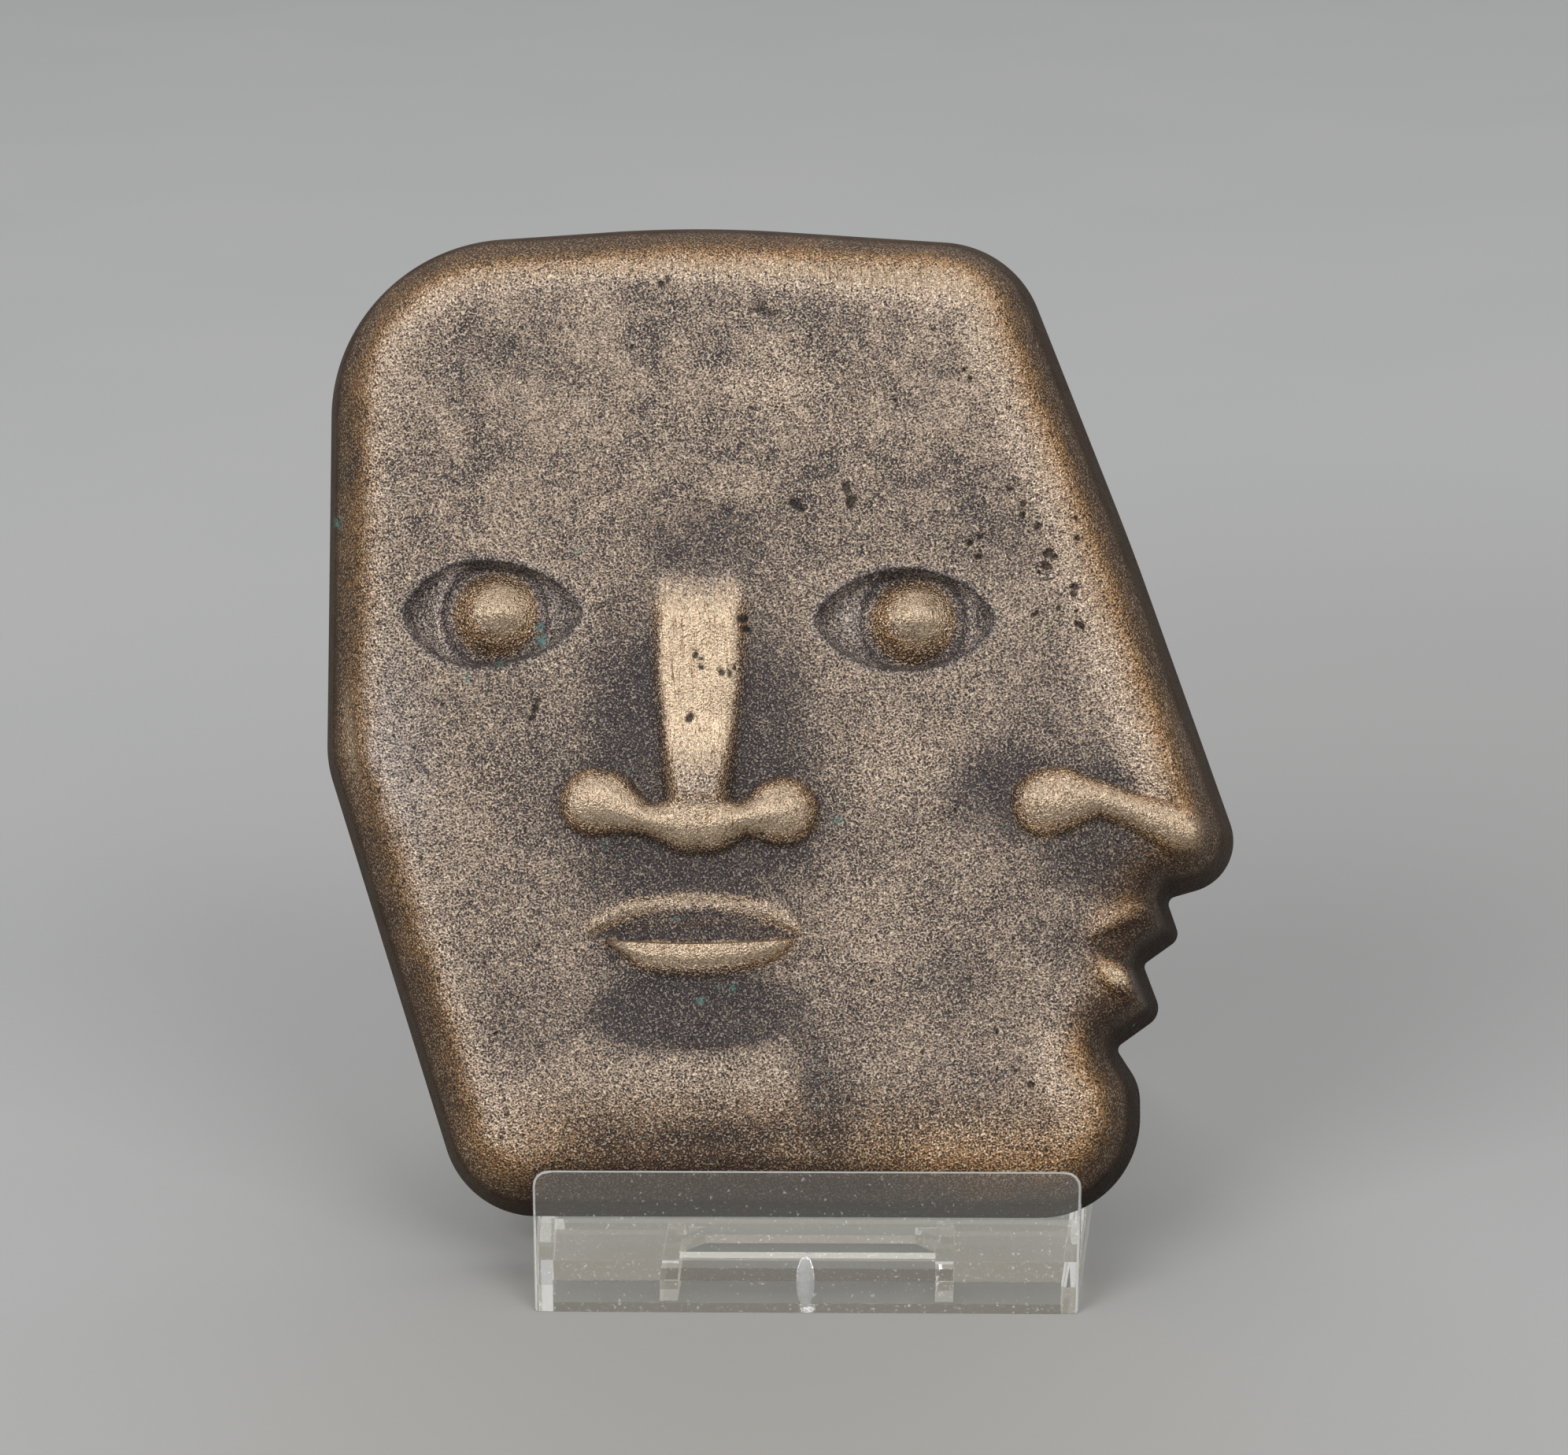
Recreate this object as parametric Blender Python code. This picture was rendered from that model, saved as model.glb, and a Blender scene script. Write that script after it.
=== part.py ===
# A cast bronze relief plaque, shaped as one head with a full face and a profile that share an eye,
# standing on a clear moulded easel. Metres, +Z up, front towards -Y, origin under the middle of the foot.

import math

import bmesh
import bpy
import numpy as np
from mathutils import Vector, geometry

MM = 0.001

# Plaque sizes
PLAQUE_WIDTH = 105.13 * MM
PLAQUE_HEIGHT = 115.56 * MM
PLAQUE_THICKNESS = 9.0 * MM
WALL_HEIGHT = 4.3 * MM
WALL_DRAFT = 1.3 * MM
RIM_WIDTH = 6.0 * MM

# Easel sizes
LEAN = math.radians(26.0)
SHEET = 2.0 * MM
LIP_WIDTH = 60.0 * MM
LIP_HEIGHT = 15.5 * MM
LEDGE_TOP = 4.2 * MM
SLOT_CLEARANCE = 0.5 * MM
PANEL_HEIGHT = 60.0 * MM
BASE_DEPTH = 70.0 * MM
HEEL_HEIGHT = 4.0 * MM
SIDE_FLARE = math.radians(4.5)
WINDOW_WIDTH = 28.6 * MM
WINDOW_MARGIN = 12.0 * MM
LEDGE_SLOT_BAR = 2.2 * MM
SLOT_CHAMFER = 2.4 * MM
LIP_CORNER_RADIUS = 1.7 * MM
PANEL_CORNER_RADIUS = 4.0 * MM
NUB_WIDTH = 2.1 * MM
NUB_HEIGHT = 5.6 * MM
NUB_PROUD = 0.6 * MM
NUB_LIFT = 3.4 * MM

# The plaque rests on the ledge and against the panel with this gap
REST_GAP = 0.3 * MM

# The carving is drawn in its own units, about a millimetre each, and keeps its share of the width and height.
# Its x runs to the viewer's right from the easel's middle, and its y up the plaque from the bottom edge.

# The head's outline, anticlockwise from the bottom left: x, y and the corner's radius
HEAD_CORNERS = [
    (-39.3, 0.0, 11.0),
    (37.4, 0.0, 11.5),
    (37.4, 15.0, 6.0),
    (34.7, 19.2, 0.8),
    (40.0, 23.0, 2.2),
    (37.9, 28.7, 0.7),
    (42.1, 31.7, 1.5),
    (40.6, 36.2, 0.9),
    (50.0, 38.9, 6.0),
    (37.1, 76.8, 300.0),
    (23.4, 113.0, 12.5),
    (-14.0, 115.9, 150.0),
    (-57.0, 113.4, 21.0),
    (-56.5, 52.2, 14.0),
]
OUTLINE_STEP = 2.1
ARC_TURN = math.radians(24.0)
RIM_SIDE_SHARE = 0.0035

# Round the profile's mouth the rim is narrower: x and y of that place, its reach and how much narrower
RIM_AT_MOUTH = {"from_x": 20.0, "to_x": 34.0, "y": 29.0, "reach": 9.0, "share": 0.45}

# The eyes: each a sunk almond, with a dome on a round disc set into its slight swell
LEFT_EYE = {"x": -36.3, "y": 68.3, "half_length": 10.3, "half_height": 6.2, "skew": -1.4, "disc_x": 0.3}
RIGHT_EYE = {"x": 10.9, "y": 67.3, "half_length": 10.2, "half_height": 5.9, "skew": 0.0, "disc_x": 0.9}
EYE_POINT = 0.68
EYE_DEPTH = 1.6
EYE_WALL = 0.6
EYE_SWELL = 1.3
DISC_RADIUS = 6.0
DISC_DEPTH = 0.45
DOME_RADIUS = 5.1
DOME_RISE = 2.0
DOME_RING_SHARES = (0.84, 0.6, 0.36, 0.14)

# The full face's nose: a flat bar that runs into a tip with two round wings
BRIDGE = {"x": -12.5, "top": 71.2, "bend": 60.0, "bottom": 45.0, "rise": 1.5, "edge": 2.0}
BRIDGE_HALF_WIDTHS = {"top": 4.2, "bend": 3.9, "bottom": 2.1}
BRIDGE_FADES = {"bottom": 2.0, "top_below": 4.5, "top_above": 3.5}
# The bar rises to the tip's height over this stretch
BRIDGE_TIP_RISE = {"from_y": 57.0, "to_y": 47.0}
NOSE_STROKES = [
    (-24.3, 46.5, 4.0, -23.0, 46.4, 3.9),
    (-23.0, 46.4, 3.9, -18.4, 44.4, 1.9),
    (-18.4, 44.4, 1.9, -13.8, 43.9, 3.5),
    (-13.8, 43.9, 3.5, -10.8, 43.9, 3.5),
    (-10.8, 43.9, 3.5, -7.2, 44.4, 2.1),
    (-7.2, 44.4, 2.1, -3.4, 45.3, 4.0),
    (-3.4, 45.3, 4.0, -2.8, 45.4, 4.1),
]
NOSE_RISE = 2.6

# The profile's nose wing, which runs out to the nose tip at the edge
PROFILE_NOSE_STROKES = [
    (26.8, 46.3, 4.0, 28.4, 46.6, 3.9),
    (28.4, 46.6, 3.9, 33.0, 46.7, 2.2),
    (33.0, 46.7, 2.2, 37.0, 45.1, 2.1),
    (37.0, 45.1, 2.1, 42.4, 42.9, 3.2),
]
PROFILE_NOSE_RISE = 2.2

# The full face's mouth
MOUTH = {"x": -12.9, "y": 31.2, "half": 12.8, "upper": 5.1, "lower": 4.3, "gap": 0.6}
UPPER_LIP_RISE = 0.8
LOWER_LIP_RISE = 1.6
LOWER_LIP_CUT = {"from": -0.8, "slope": 11.0}
MOUTH_DEPTH = 2.3

# The profile's upper lip: the face rises to this line, which runs up to the edge, and drops below it
LIP_FOLD = {"x": 30.3, "y": 30.5, "turn": math.radians(30.0), "rise": 1.1, "above": 2.2, "drop": 0.6, "spread": 0.36}

# Soft hollows and swells: x, y, half width, half height, turn in degrees, depth (below the face) or rise
SOFT_FORMS = [
    (-19.4, 58.5, 6.5, 15.0, 4.0, -1.8),
    (-5.6, 58.5, 6.0, 15.0, -4.0, -1.8),
    (-12.0, 75.5, 8.0, 6.5, 0.0, -1.0),
    (-29.5, 47.5, 5.0, 8.0, 0.0, -0.7),
    (4.0, 47.0, 5.0, 8.0, 0.0, -0.7),
    (-12.5, 38.6, 15.5, 4.2, 0.0, -1.8),
    (-12.5, 22.6, 14.0, 4.4, 0.0, -2.3),
    (-13.0, 15.0, 20.0, 7.5, 0.0, 1.1),
    (3.4, 14.0, 4.6, 15.0, 10.0, -1.5),
    (17.0, 52.0, 12.0, 5.0, 25.0, -0.8),
    (22.0, 49.0, 5.5, 7.5, 0.0, -1.1),
    (33.5, 40.6, 7.5, 4.4, -14.0, -2.9),
    (41.5, 38.6, 8.0, 3.6, 18.0, -3.0),
    (38.2, 28.9, 7.6, 1.9, -14.0, -1.9),
    (37.4, 25.9, 6.4, 3.6, -25.0, 2.0),
    (40.8, 50.5, 8.5, 6.5, -55.0, 1.2),
    (34.4, 21.6, 5.5, 3.2, -35.0, -2.4),
    (30.5, 13.0, 8.0, 8.5, 0.0, 0.7),
    (-8.0, 93.0, 60.0, 28.0, 0.0, 0.5),
    (-2.0, 1.0, 44.0, 9.0, 0.0, -2.0),
]

# Point spacings of the carved surface
CREASE_STEP = 1.1
FINE_STEP = 0.92
PLAIN_STEP = 3.2
FINE_FORMS = [
    (-12.5, 45.0, 16.5, 4.9),
    (-12.1, 60.0, 7.0, 13.0),
    (-12.5, 30.6, 13.8, 8.6),
    (33.5, 44.5, 11.5, 6.8),
    (36.0, 30.0, 6.5, 11.5),
]
RIM_RINGS = (0.0, 0.22, 0.5, 0.78, 1.0)


def smooth_step(low, high, value):
    share = np.clip((value - low) / (high - low), 0.0, 1.0)
    return share * share * (3.0 - 2.0 * share)


def smooth_max(first, second, blend):
    """The larger of the two, with the crease between them rounded over the blend."""
    share = np.clip(0.5 + 0.5 * (first - second) / blend, 0.0, 1.0)
    return second + (first - second) * share + blend * share * (1.0 - share)


def rounded_outline(corners, step):
    """Points along the outline, no further apart than the step, with an arc at each corner."""
    points = []
    count = len(corners)
    for index, (x, y, radius) in enumerate(corners):
        corner = Vector((x, y))
        before = (Vector(corners[index - 1][:2]) - corner).normalized()
        after = (Vector(corners[(index + 1) % count][:2]) - corner).normalized()
        half_angle = 0.5 * before.angle(after)
        reach = radius / math.tan(half_angle)
        centre = corner + (before + after).normalized() * (radius / math.sin(half_angle))
        start = corner + before * reach - centre
        turn = start.angle_signed(corner + after * reach - centre)
        arc_steps = max(1, math.ceil(abs(turn) * radius / step), math.ceil(abs(turn) / ARC_TURN))
        for part in range(arc_steps + 1):
            angle = -turn * part / arc_steps
            spun = Vector((
                start.x * math.cos(angle) - start.y * math.sin(angle),
                start.x * math.sin(angle) + start.y * math.cos(angle),
            ))
            points.append(centre + spun)
    return fill_runs(points, step)


def fill_runs(points, step):
    """Adds even points to the straight runs between the arcs."""
    filled = []
    for index, point in enumerate(points):
        ahead = points[(index + 1) % len(points)]
        pieces = max(1, math.ceil((ahead - point).length / step - 0.01))
        filled += [tuple(point.lerp(ahead, part / pieces)) for part in range(pieces)]
    return np.array(filled)


def edge_distance(x, y, outline):
    """How far each place lies from the nearest edge of the outline."""
    start = outline
    run = np.roll(outline, -1, axis=0) - start
    length_squared = (run ** 2).sum(axis=1)
    from_x = x[:, None] - start[:, 0]
    from_y = y[:, None] - start[:, 1]
    along = np.clip((from_x * run[:, 0] + from_y * run[:, 1]) / length_squared, 0.0, 1.0)
    gap_x = from_x - along * run[:, 0]
    gap_y = from_y - along * run[:, 1]
    return np.sqrt((gap_x ** 2 + gap_y ** 2).min(axis=1))


def inside(x, y, outline):
    """True where a place lies within the outline."""
    ahead = np.roll(outline, -1, axis=0)
    crosses = (outline[:, 1] > y[:, None]) != (ahead[:, 1] > y[:, None])
    slope = (ahead[:, 0] - outline[:, 0]) / (ahead[:, 1] - outline[:, 1] + 1e-12)
    meets = outline[:, 0] + slope * (y[:, None] - outline[:, 1])
    return (crosses & (x[:, None] < meets)).sum(axis=1) % 2 == 1


def stroke_dome(x, y, strokes):
    """A round-topped stroke, 1 along its middle and 0 at its edge, through tapering segments."""
    dome = np.zeros_like(x)
    for x0, y0, r0, x1, y1, r1 in strokes:
        run_x, run_y = x1 - x0, y1 - y0
        along = np.clip(((x - x0) * run_x + (y - y0) * run_y) / (run_x ** 2 + run_y ** 2), 0.0, 1.0)
        away = np.hypot(x - x0 - along * run_x, y - y0 - along * run_y)
        share = np.clip(away / (r0 + along * (r1 - r0)), 0.0, 1.0)
        dome = np.maximum(dome, (1.0 - share ** 2.2) ** 0.75)
    return dome


def soft_form(x, y, form):
    """A swell or hollow that fades to nothing at its edge."""
    centre_x, centre_y, half_width, half_height, turn, rise = form
    turn = math.radians(turn)
    across = ((x - centre_x) * math.cos(turn) + (y - centre_y) * math.sin(turn)) / half_width
    up = ((y - centre_y) * math.cos(turn) - (x - centre_x) * math.sin(turn)) / half_height
    return rise * np.clip(1.0 - across ** 2 - up ** 2, 0.0, 1.0) ** 1.5


def almond(x, y, eye):
    """Below 1 inside the eye's almond, 1 on its edge and more outside."""
    across = x - eye["x"] - eye["skew"]
    reach = np.where(across < 0.0, eye["half_length"] + eye["skew"], eye["half_length"] - eye["skew"])
    length_share = (np.abs(across) / reach) ** 2
    height_share = (np.abs(y - eye["y"]) / eye["half_height"]) ** (1.0 / EYE_POINT)
    return length_share + height_share


def almond_loop(eye, inset, step):
    """Even points on the almond's edge, moved inwards by the inset."""
    turns = np.linspace(0.0, 2.0 * math.pi, 721)
    reach = np.where(np.cos(turns) < 0.0, eye["half_length"] + eye["skew"], eye["half_length"] - eye["skew"])
    x = eye["x"] + eye["skew"] + np.cos(turns) * (reach - 1.4 * inset)
    y = eye["y"] + np.sign(np.sin(turns)) * np.abs(np.sin(turns)) ** (2.0 * EYE_POINT) * (eye["half_height"] - inset)
    return even_points(x, y, step)[:-1]


def eye_form(x, y, eye):
    """How far the eye's socket, swell, disc and dome change the face there."""
    ratio = almond(x, y, eye)
    socket = 1.0 - smooth_step(1.0 - 2.2 * EYE_WALL / eye["half_height"], 1.0, ratio)
    away = np.hypot(x - eye["x"] - eye["disc_x"], y - eye["y"])
    dome = DOME_RISE * np.clip(1.0 - (away / DOME_RADIUS) ** 2, 0.0, 1.0) ** 1.4
    disc = DISC_DEPTH * (1.0 - smooth_step(DISC_RADIUS - 0.5, DISC_RADIUS + 0.1, away))
    swell = EYE_SWELL * np.clip(1.0 - ratio, 0.0, 1.0)
    return socket * (swell + dome - disc - EYE_DEPTH)


def bridge_half_width(y):
    heights = [BRIDGE[key] for key in ("bottom", "bend", "top")]
    return np.interp(y, heights, [BRIDGE_HALF_WIDTHS[key] for key in ("bottom", "bend", "top")])


def bridge_form(x, y):
    """The nose's flat bar, narrower towards the tip."""
    half = bridge_half_width(y)
    sides = 1.0 - smooth_step(half - 0.4, half + BRIDGE["edge"], np.abs(x - BRIDGE["x"]))
    top, fades = BRIDGE["top"], BRIDGE_FADES
    ends = smooth_step(BRIDGE["bottom"] - fades["bottom"], BRIDGE["bottom"], y)
    ends = ends * (1.0 - smooth_step(top - fades["top_below"], top + fades["top_above"], y))
    towards_tip = 1.0 - smooth_step(BRIDGE_TIP_RISE["to_y"], BRIDGE_TIP_RISE["from_y"], y)
    return sides * ends * (BRIDGE["rise"] + (NOSE_RISE - BRIDGE["rise"]) * towards_tip)


def mouth_edges(x):
    """The upper lip's top, the mouth line and the lower lip's bottom."""
    share = (x - MOUTH["x"]) / MOUTH["half"]
    bow = np.clip(1.0 - share ** 2, 0.0, 1.0)
    upper = MOUTH["y"] + MOUTH["upper"] * bow ** 0.65
    line = MOUTH["y"] - MOUTH["gap"] * bow
    sag = MOUTH["lower"] * np.clip(1.0 - (share / 0.9) ** 2, 0.0, 1.0) ** 0.5
    # The lower lip's left end is cut off at a slant
    lower = line - np.clip((share - LOWER_LIP_CUT["from"]) * LOWER_LIP_CUT["slope"], 0.0, sag)
    return upper, line, lower, bow


def mouth_form(x, y, face):
    """Cuts the mouth's opening into the face and lays the two lips on it."""
    upper, line, lower, bow = mouth_edges(x)
    within = smooth_step(0.0, 0.25, bow)
    # The upper lip's thin ridge, and the face that falls from it to the mouth line
    ridge = UPPER_LIP_RISE * np.exp(-((y - upper + 0.9) / 1.5) ** 2) * within
    fall = np.clip((upper - 0.8 - y) / np.maximum(upper - 0.8 - line, 0.3), 0.0, 1.0)
    opening = 0.25 * fall + 0.75 * smooth_step(0.3, 0.95, fall)
    opening = MOUTH_DEPTH * within * opening * smooth_step(line - 0.4, line + 0.4, y)
    # The lower lip rises softly from below and ends sharply at the mouth line
    across = (y - lower) / np.maximum(line - lower, 0.3)
    roll = LOWER_LIP_RISE * smooth_step(-0.15, 0.6, across) * (1.0 - smooth_step(0.9, 1.12, across))
    return face + ridge - opening + roll * smooth_step(0.12, 0.45, bow)


def lip_fold(x, y):
    """The profile's upper lip, which rises to its line and drops below it, wider towards the edge."""
    across, up = math.cos(LIP_FOLD["turn"]), math.sin(LIP_FOLD["turn"])
    along = across * (x - LIP_FOLD["x"]) + up * (y - LIP_FOLD["y"])
    over = across * (y - LIP_FOLD["y"]) - up * (x - LIP_FOLD["x"])
    above = np.exp(-(np.maximum(over, 0.0) / LIP_FOLD["above"]) ** 2)
    below = 1.0 - smooth_step(0.0, 1.0, -over / (LIP_FOLD["drop"] + LIP_FOLD["spread"] * np.maximum(along, 0.0)))
    return LIP_FOLD["rise"] * smooth_step(-0.5, 3.5, along) * np.where(over > 0.0, above, below)


def carved_rise(x, y):
    """The carving's height over the plain face, in carving units."""
    rise = sum(soft_form(x, y, form) for form in SOFT_FORMS) + lip_fold(x, y)
    rise = mouth_form(x, y, rise)
    rise = smooth_max(rise, bridge_form(x, y), 0.4) - 0.1
    nose = stroke_dome(x, y, NOSE_STROKES)
    rise = rise + nose * (np.maximum(NOSE_RISE - rise, 0.0))
    wing = stroke_dome(x, y, PROFILE_NOSE_STROKES)
    rise = rise + wing * (np.maximum(PROFILE_NOSE_RISE - rise, 0.0))
    return rise + eye_form(x, y, LEFT_EYE) + eye_form(x, y, RIGHT_EYE)


def carving_units(outline):
    """The size of one carving unit across the plaque and up it."""
    across, up = outline.max(axis=0) - outline.min(axis=0)
    return PLAQUE_WIDTH / across, PLAQUE_HEIGHT / up


def rim_width(x, y, unit):
    """The rounded rim is a little wider on the head's back than on the profile, and narrow at its mouth."""
    place = RIM_AT_MOUTH
    at_mouth = np.exp(-((y - place["y"]) / place["reach"]) ** 2) * smooth_step(place["from_x"], place["to_x"], x)
    return RIM_WIDTH / unit * (1.0 - RIM_SIDE_SHARE * x) * (1.0 - place["share"] * at_mouth)


def surface_height(x, y, outline, unit):
    """Height over the back plane, in carving units: a drafted wall, a rounded rim, then the carved face."""
    wall = WALL_HEIGHT / unit
    draft = WALL_DRAFT / unit
    top = PLAQUE_THICKNESS / unit + carved_rise(x, y)
    edge = edge_distance(x, y, outline)
    roll = np.clip((edge - draft) / (rim_width(x, y, unit) - draft), 0.0, 1.0)
    return np.where(edge < draft, wall * edge / draft, wall + (top - wall) * np.sin(0.5 * math.pi * roll))


def rim_points(outline, unit):
    """Rings of points that follow the outline: the wall's top, then up the rounded rim."""
    ahead = np.roll(outline, -1, axis=0)
    behind = np.roll(outline, 1, axis=0)
    run = ahead - behind
    inward = np.stack([-run[:, 1], run[:, 0]], axis=1) / np.hypot(run[:, 0], run[:, 1])[:, None]
    draft = WALL_DRAFT / unit
    rings = []
    for share in RIM_RINGS:
        depth = draft + (rim_width(outline[:, 0], outline[:, 1], unit) - draft) * share
        ring = outline + inward * depth[:, None]
        reached = edge_distance(ring[:, 0], ring[:, 1], outline)
        rings.append(ring[(reached > depth - 0.12) & inside(ring[:, 0], ring[:, 1], outline)])
    return rings


def even_points(x, y, step):
    """Points along a curve at even distances, its two ends included."""
    along = np.concatenate([[0.0], np.cumsum(np.hypot(np.diff(x), np.diff(y)))])
    marks = np.linspace(0.0, along[-1], max(2, math.ceil(along[-1] / step)) + 1)
    return np.stack([np.interp(marks, along, x), np.interp(marks, along, y)], axis=1)


def ring_points(x, y, radius, step):
    """Even points on a circle."""
    turns = np.linspace(0.0, 2.0 * math.pi, math.ceil(2.0 * math.pi * radius / step), endpoint=False)
    return np.stack([x + radius * np.cos(turns), y + radius * np.sin(turns)], axis=1)


def eye_points(eye):
    """Rings on the disc's edge and the dome."""
    x, y = eye["x"] + eye["disc_x"], eye["y"]
    rings = [ring_points(x, y, radius, CREASE_STEP) for radius in (DISC_RADIUS + 0.2, DISC_RADIUS - 0.6)]
    rings += [ring_points(x, y, share * DOME_RADIUS, CREASE_STEP) for share in DOME_RING_SHARES]
    return [ring[almond(ring[:, 0], ring[:, 1], eye) < 0.7] for ring in rings]


def creases():
    """The sharp lines of the carving: the eyes' edges, the nose bar's sides and the lips."""
    lines = []
    for eye in (LEFT_EYE, RIGHT_EYE):
        for inset in (-0.7, 0.0, EYE_WALL):
            loop = almond_loop(eye, inset, CREASE_STEP)
            lines.append((loop, True))
    bar = np.linspace(BRIDGE["bottom"] + 3.5, BRIDGE["top"] - 1.0, 40)
    for side in (-1.0, 1.0):
        for out in (-0.4, BRIDGE["edge"]):
            x = BRIDGE["x"] + side * (bridge_half_width(bar) + out)
            lines.append((even_points(x, bar, 1.5 * CREASE_STEP), False))
    across = MOUTH["x"] + MOUTH["half"] * np.sin(np.linspace(-1.45, 1.45, 80))
    upper, line, lower, _ = mouth_edges(across)
    within = np.abs(across - MOUTH["x"]) < 0.8 * MOUTH["half"]
    lines.append((even_points(across, upper - 0.8, CREASE_STEP), False))
    for edge, steps in ((line, (0.5, -0.4)), (lower, (0.6, -0.2))):
        for step in steps:
            lines.append((even_points(across[within], edge[within] + step, CREASE_STEP), False))
    return lines


def grid_points(step, outline, unit):
    """A triangular grid over the whole head, clear of the rim."""
    low, high = outline.min(axis=0), outline.max(axis=0)
    rows = np.arange(low[1], high[1], step * math.sqrt(0.75))
    found = []
    for index, y in enumerate(rows):
        x = np.arange(low[0] + (index % 2) * step / 2, high[0], step)
        found.append(np.stack([x, np.full_like(x, y)], axis=1))
    grid = np.concatenate(found)
    rim = rim_width(grid[:, 0], grid[:, 1], unit)
    clear = edge_distance(grid[:, 0], grid[:, 1], outline) > rim + step * 0.3
    return grid[inside(grid[:, 0], grid[:, 1], outline) & clear]


def near_carving(points):
    """True for the places on the carved features, which take the fine grid."""
    x, y = points[:, 0], points[:, 1]
    near = np.zeros(len(points), bool)
    for centre_x, centre_y, half_width, half_height in FINE_FORMS:
        near |= ((x - centre_x) / half_width) ** 2 + ((y - centre_y) / half_height) ** 2 < 1.0
    return near


def keep_apart(points, groups):
    """Adds each group's points in turn, leaving out those nearer to an earlier one than the group allows."""
    for group, gap in groups:
        kept = []
        for point in group:
            others = np.array(kept) if kept else np.zeros((0, 2))
            near = np.hypot(*(points - point).T).min() < gap
            if not near and (len(others) == 0 or np.hypot(*(others - point).T).min() >= gap * 0.98):
                kept.append(point)
        if kept:
            points = np.concatenate([points, np.array(kept)])
    return points


def carving_points(outline, unit):
    """The places where the carved surface has its points, and the crease lines between them."""
    points = outline
    edges = [(index, (index + 1) % len(outline)) for index in range(len(outline))]
    for line, closed in creases():
        first = len(points)
        points = np.concatenate([points, line])
        edges += [(index, index + 1) for index in range(first, len(points) - 1)]
        if closed:
            edges.append((len(points) - 1, first))
    groups = [(ring, 0.5) for ring in rim_points(outline, unit)]
    groups += [(ring, 0.6 * CREASE_STEP) for eye in (LEFT_EYE, RIGHT_EYE) for ring in eye_points(eye)]
    fine = grid_points(FINE_STEP, outline, unit)
    groups.append((fine[near_carving(fine)], FINE_STEP * 0.66))
    groups.append((grid_points(PLAIN_STEP, outline, unit), PLAIN_STEP * 0.62))
    return keep_apart(points, groups), edges


def metal(name, colour, roughness, metallic):
    made = bpy.data.materials.new(name)
    made.use_nodes = True
    shader = made.node_tree.nodes["Principled BSDF"]
    shader.inputs["Base Color"].default_value = (*colour, 1.0)
    shader.inputs["Roughness"].default_value = roughness
    shader.inputs["Metallic"].default_value = metallic
    return made


def clear_plastic(name):
    made = metal(name, (0.9, 0.93, 0.92), 0.05, 0.0)
    shader = made.node_tree.nodes["Principled BSDF"]
    shader.inputs["Transmission Weight"].default_value = 1.0
    shader.inputs["IOR"].default_value = 1.49
    return made


def link_object(name, mesh, collection):
    made = bpy.data.objects.new(name, mesh)
    collection.objects.link(made)
    return made


def build_plaque(collection, material, foot):
    """The bronze casting, laid out flat and then leant back onto the easel."""
    outline = rounded_outline(HEAD_CORNERS, OUTLINE_STEP)
    unit_across, unit = carving_units(outline)
    places, edges = carving_points(outline, unit)
    flat = [Vector(place) for place in places]
    flat, _, triangles, *_ = geometry.delaunay_2d_cdt(flat, edges, [], 1, 1e-6)
    x = np.array([point.x for point in flat])
    y = np.array([point.y for point in flat])
    height = surface_height(x, y, outline, unit)
    mesh = bpy.data.meshes.new("relief_plaque")
    bm = bmesh.new()
    points = [bm.verts.new((px * unit_across, py * unit, h * unit)) for px, py, h in zip(x, y, height)]
    for triangle in triangles:
        bm.faces.new([points[index] for index in triangle])
    # The back is one flat face on the open edge of the carved surface
    bmesh.ops.holes_fill(bm, edges=[edge for edge in bm.edges if edge.is_boundary])
    bmesh.ops.recalc_face_normals(bm, faces=bm.faces[:])
    bm.to_mesh(mesh)
    bm.free()
    plaque = link_object("relief_plaque", mesh, collection)
    plaque.location = foot
    plaque.rotation_euler = (0.5 * math.pi - LEAN, 0.0, 0.0)
    mesh.materials.append(material)
    mesh.shade_smooth()
    mesh.set_sharp_from_angle(angle=math.radians(45.0))
    return plaque


def extruded(name, outline, half_width, collection):
    """A solid with this outline in its side view (y, z), running across x."""
    mesh = bpy.data.meshes.new(name)
    bm = bmesh.new()
    face = bm.faces.new([bm.verts.new((-half_width, y, z)) for y, z in outline])
    grown = bmesh.ops.extrude_face_region(bm, geom=[face])
    moved = [item for item in grown["geom"] if isinstance(item, bmesh.types.BMVert)]
    bmesh.ops.translate(bm, verts=moved, vec=(2.0 * half_width, 0.0, 0.0))
    bmesh.ops.recalc_face_normals(bm, faces=bm.faces[:])
    bm.to_mesh(mesh)
    bm.free()
    return link_object(name, mesh, collection)


def wedge(name, front_half, flare, front, back, low, high, collection):
    """A block whose sides spread towards the back, as the easel's do."""
    bpy.ops.mesh.primitive_cube_add(size=1.0)
    made = bpy.context.object
    made.name = name
    for user in list(made.users_collection):
        user.objects.unlink(made)
    collection.objects.link(made)
    for vertex in made.data.vertices:
        depth = back if vertex.co.y > 0.0 else front
        half = front_half + depth * math.tan(flare)
        side = half if vertex.co.x > 0.0 else -half
        vertex.co = (side, depth, high if vertex.co.z > 0.0 else low)
    return made


def join(piece, other, operation):
    """One Boolean step, applied at once, so that the next step meets a plain mesh."""
    step = piece.modifiers.new("join", "BOOLEAN")
    step.operation = operation
    step.object = other
    graph = bpy.context.evaluated_depsgraph_get()
    done = bpy.data.meshes.new_from_object(piece.evaluated_get(graph))
    piece.modifiers.clear()
    bm = bmesh.new()
    bm.from_mesh(done)
    bmesh.ops.remove_doubles(bm, verts=bm.verts[:], dist=0.02 * MM)
    bm.to_mesh(done)
    bm.free()
    piece.data = done
    other.hide_render = True
    other.display_type = "WIRE"


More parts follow.
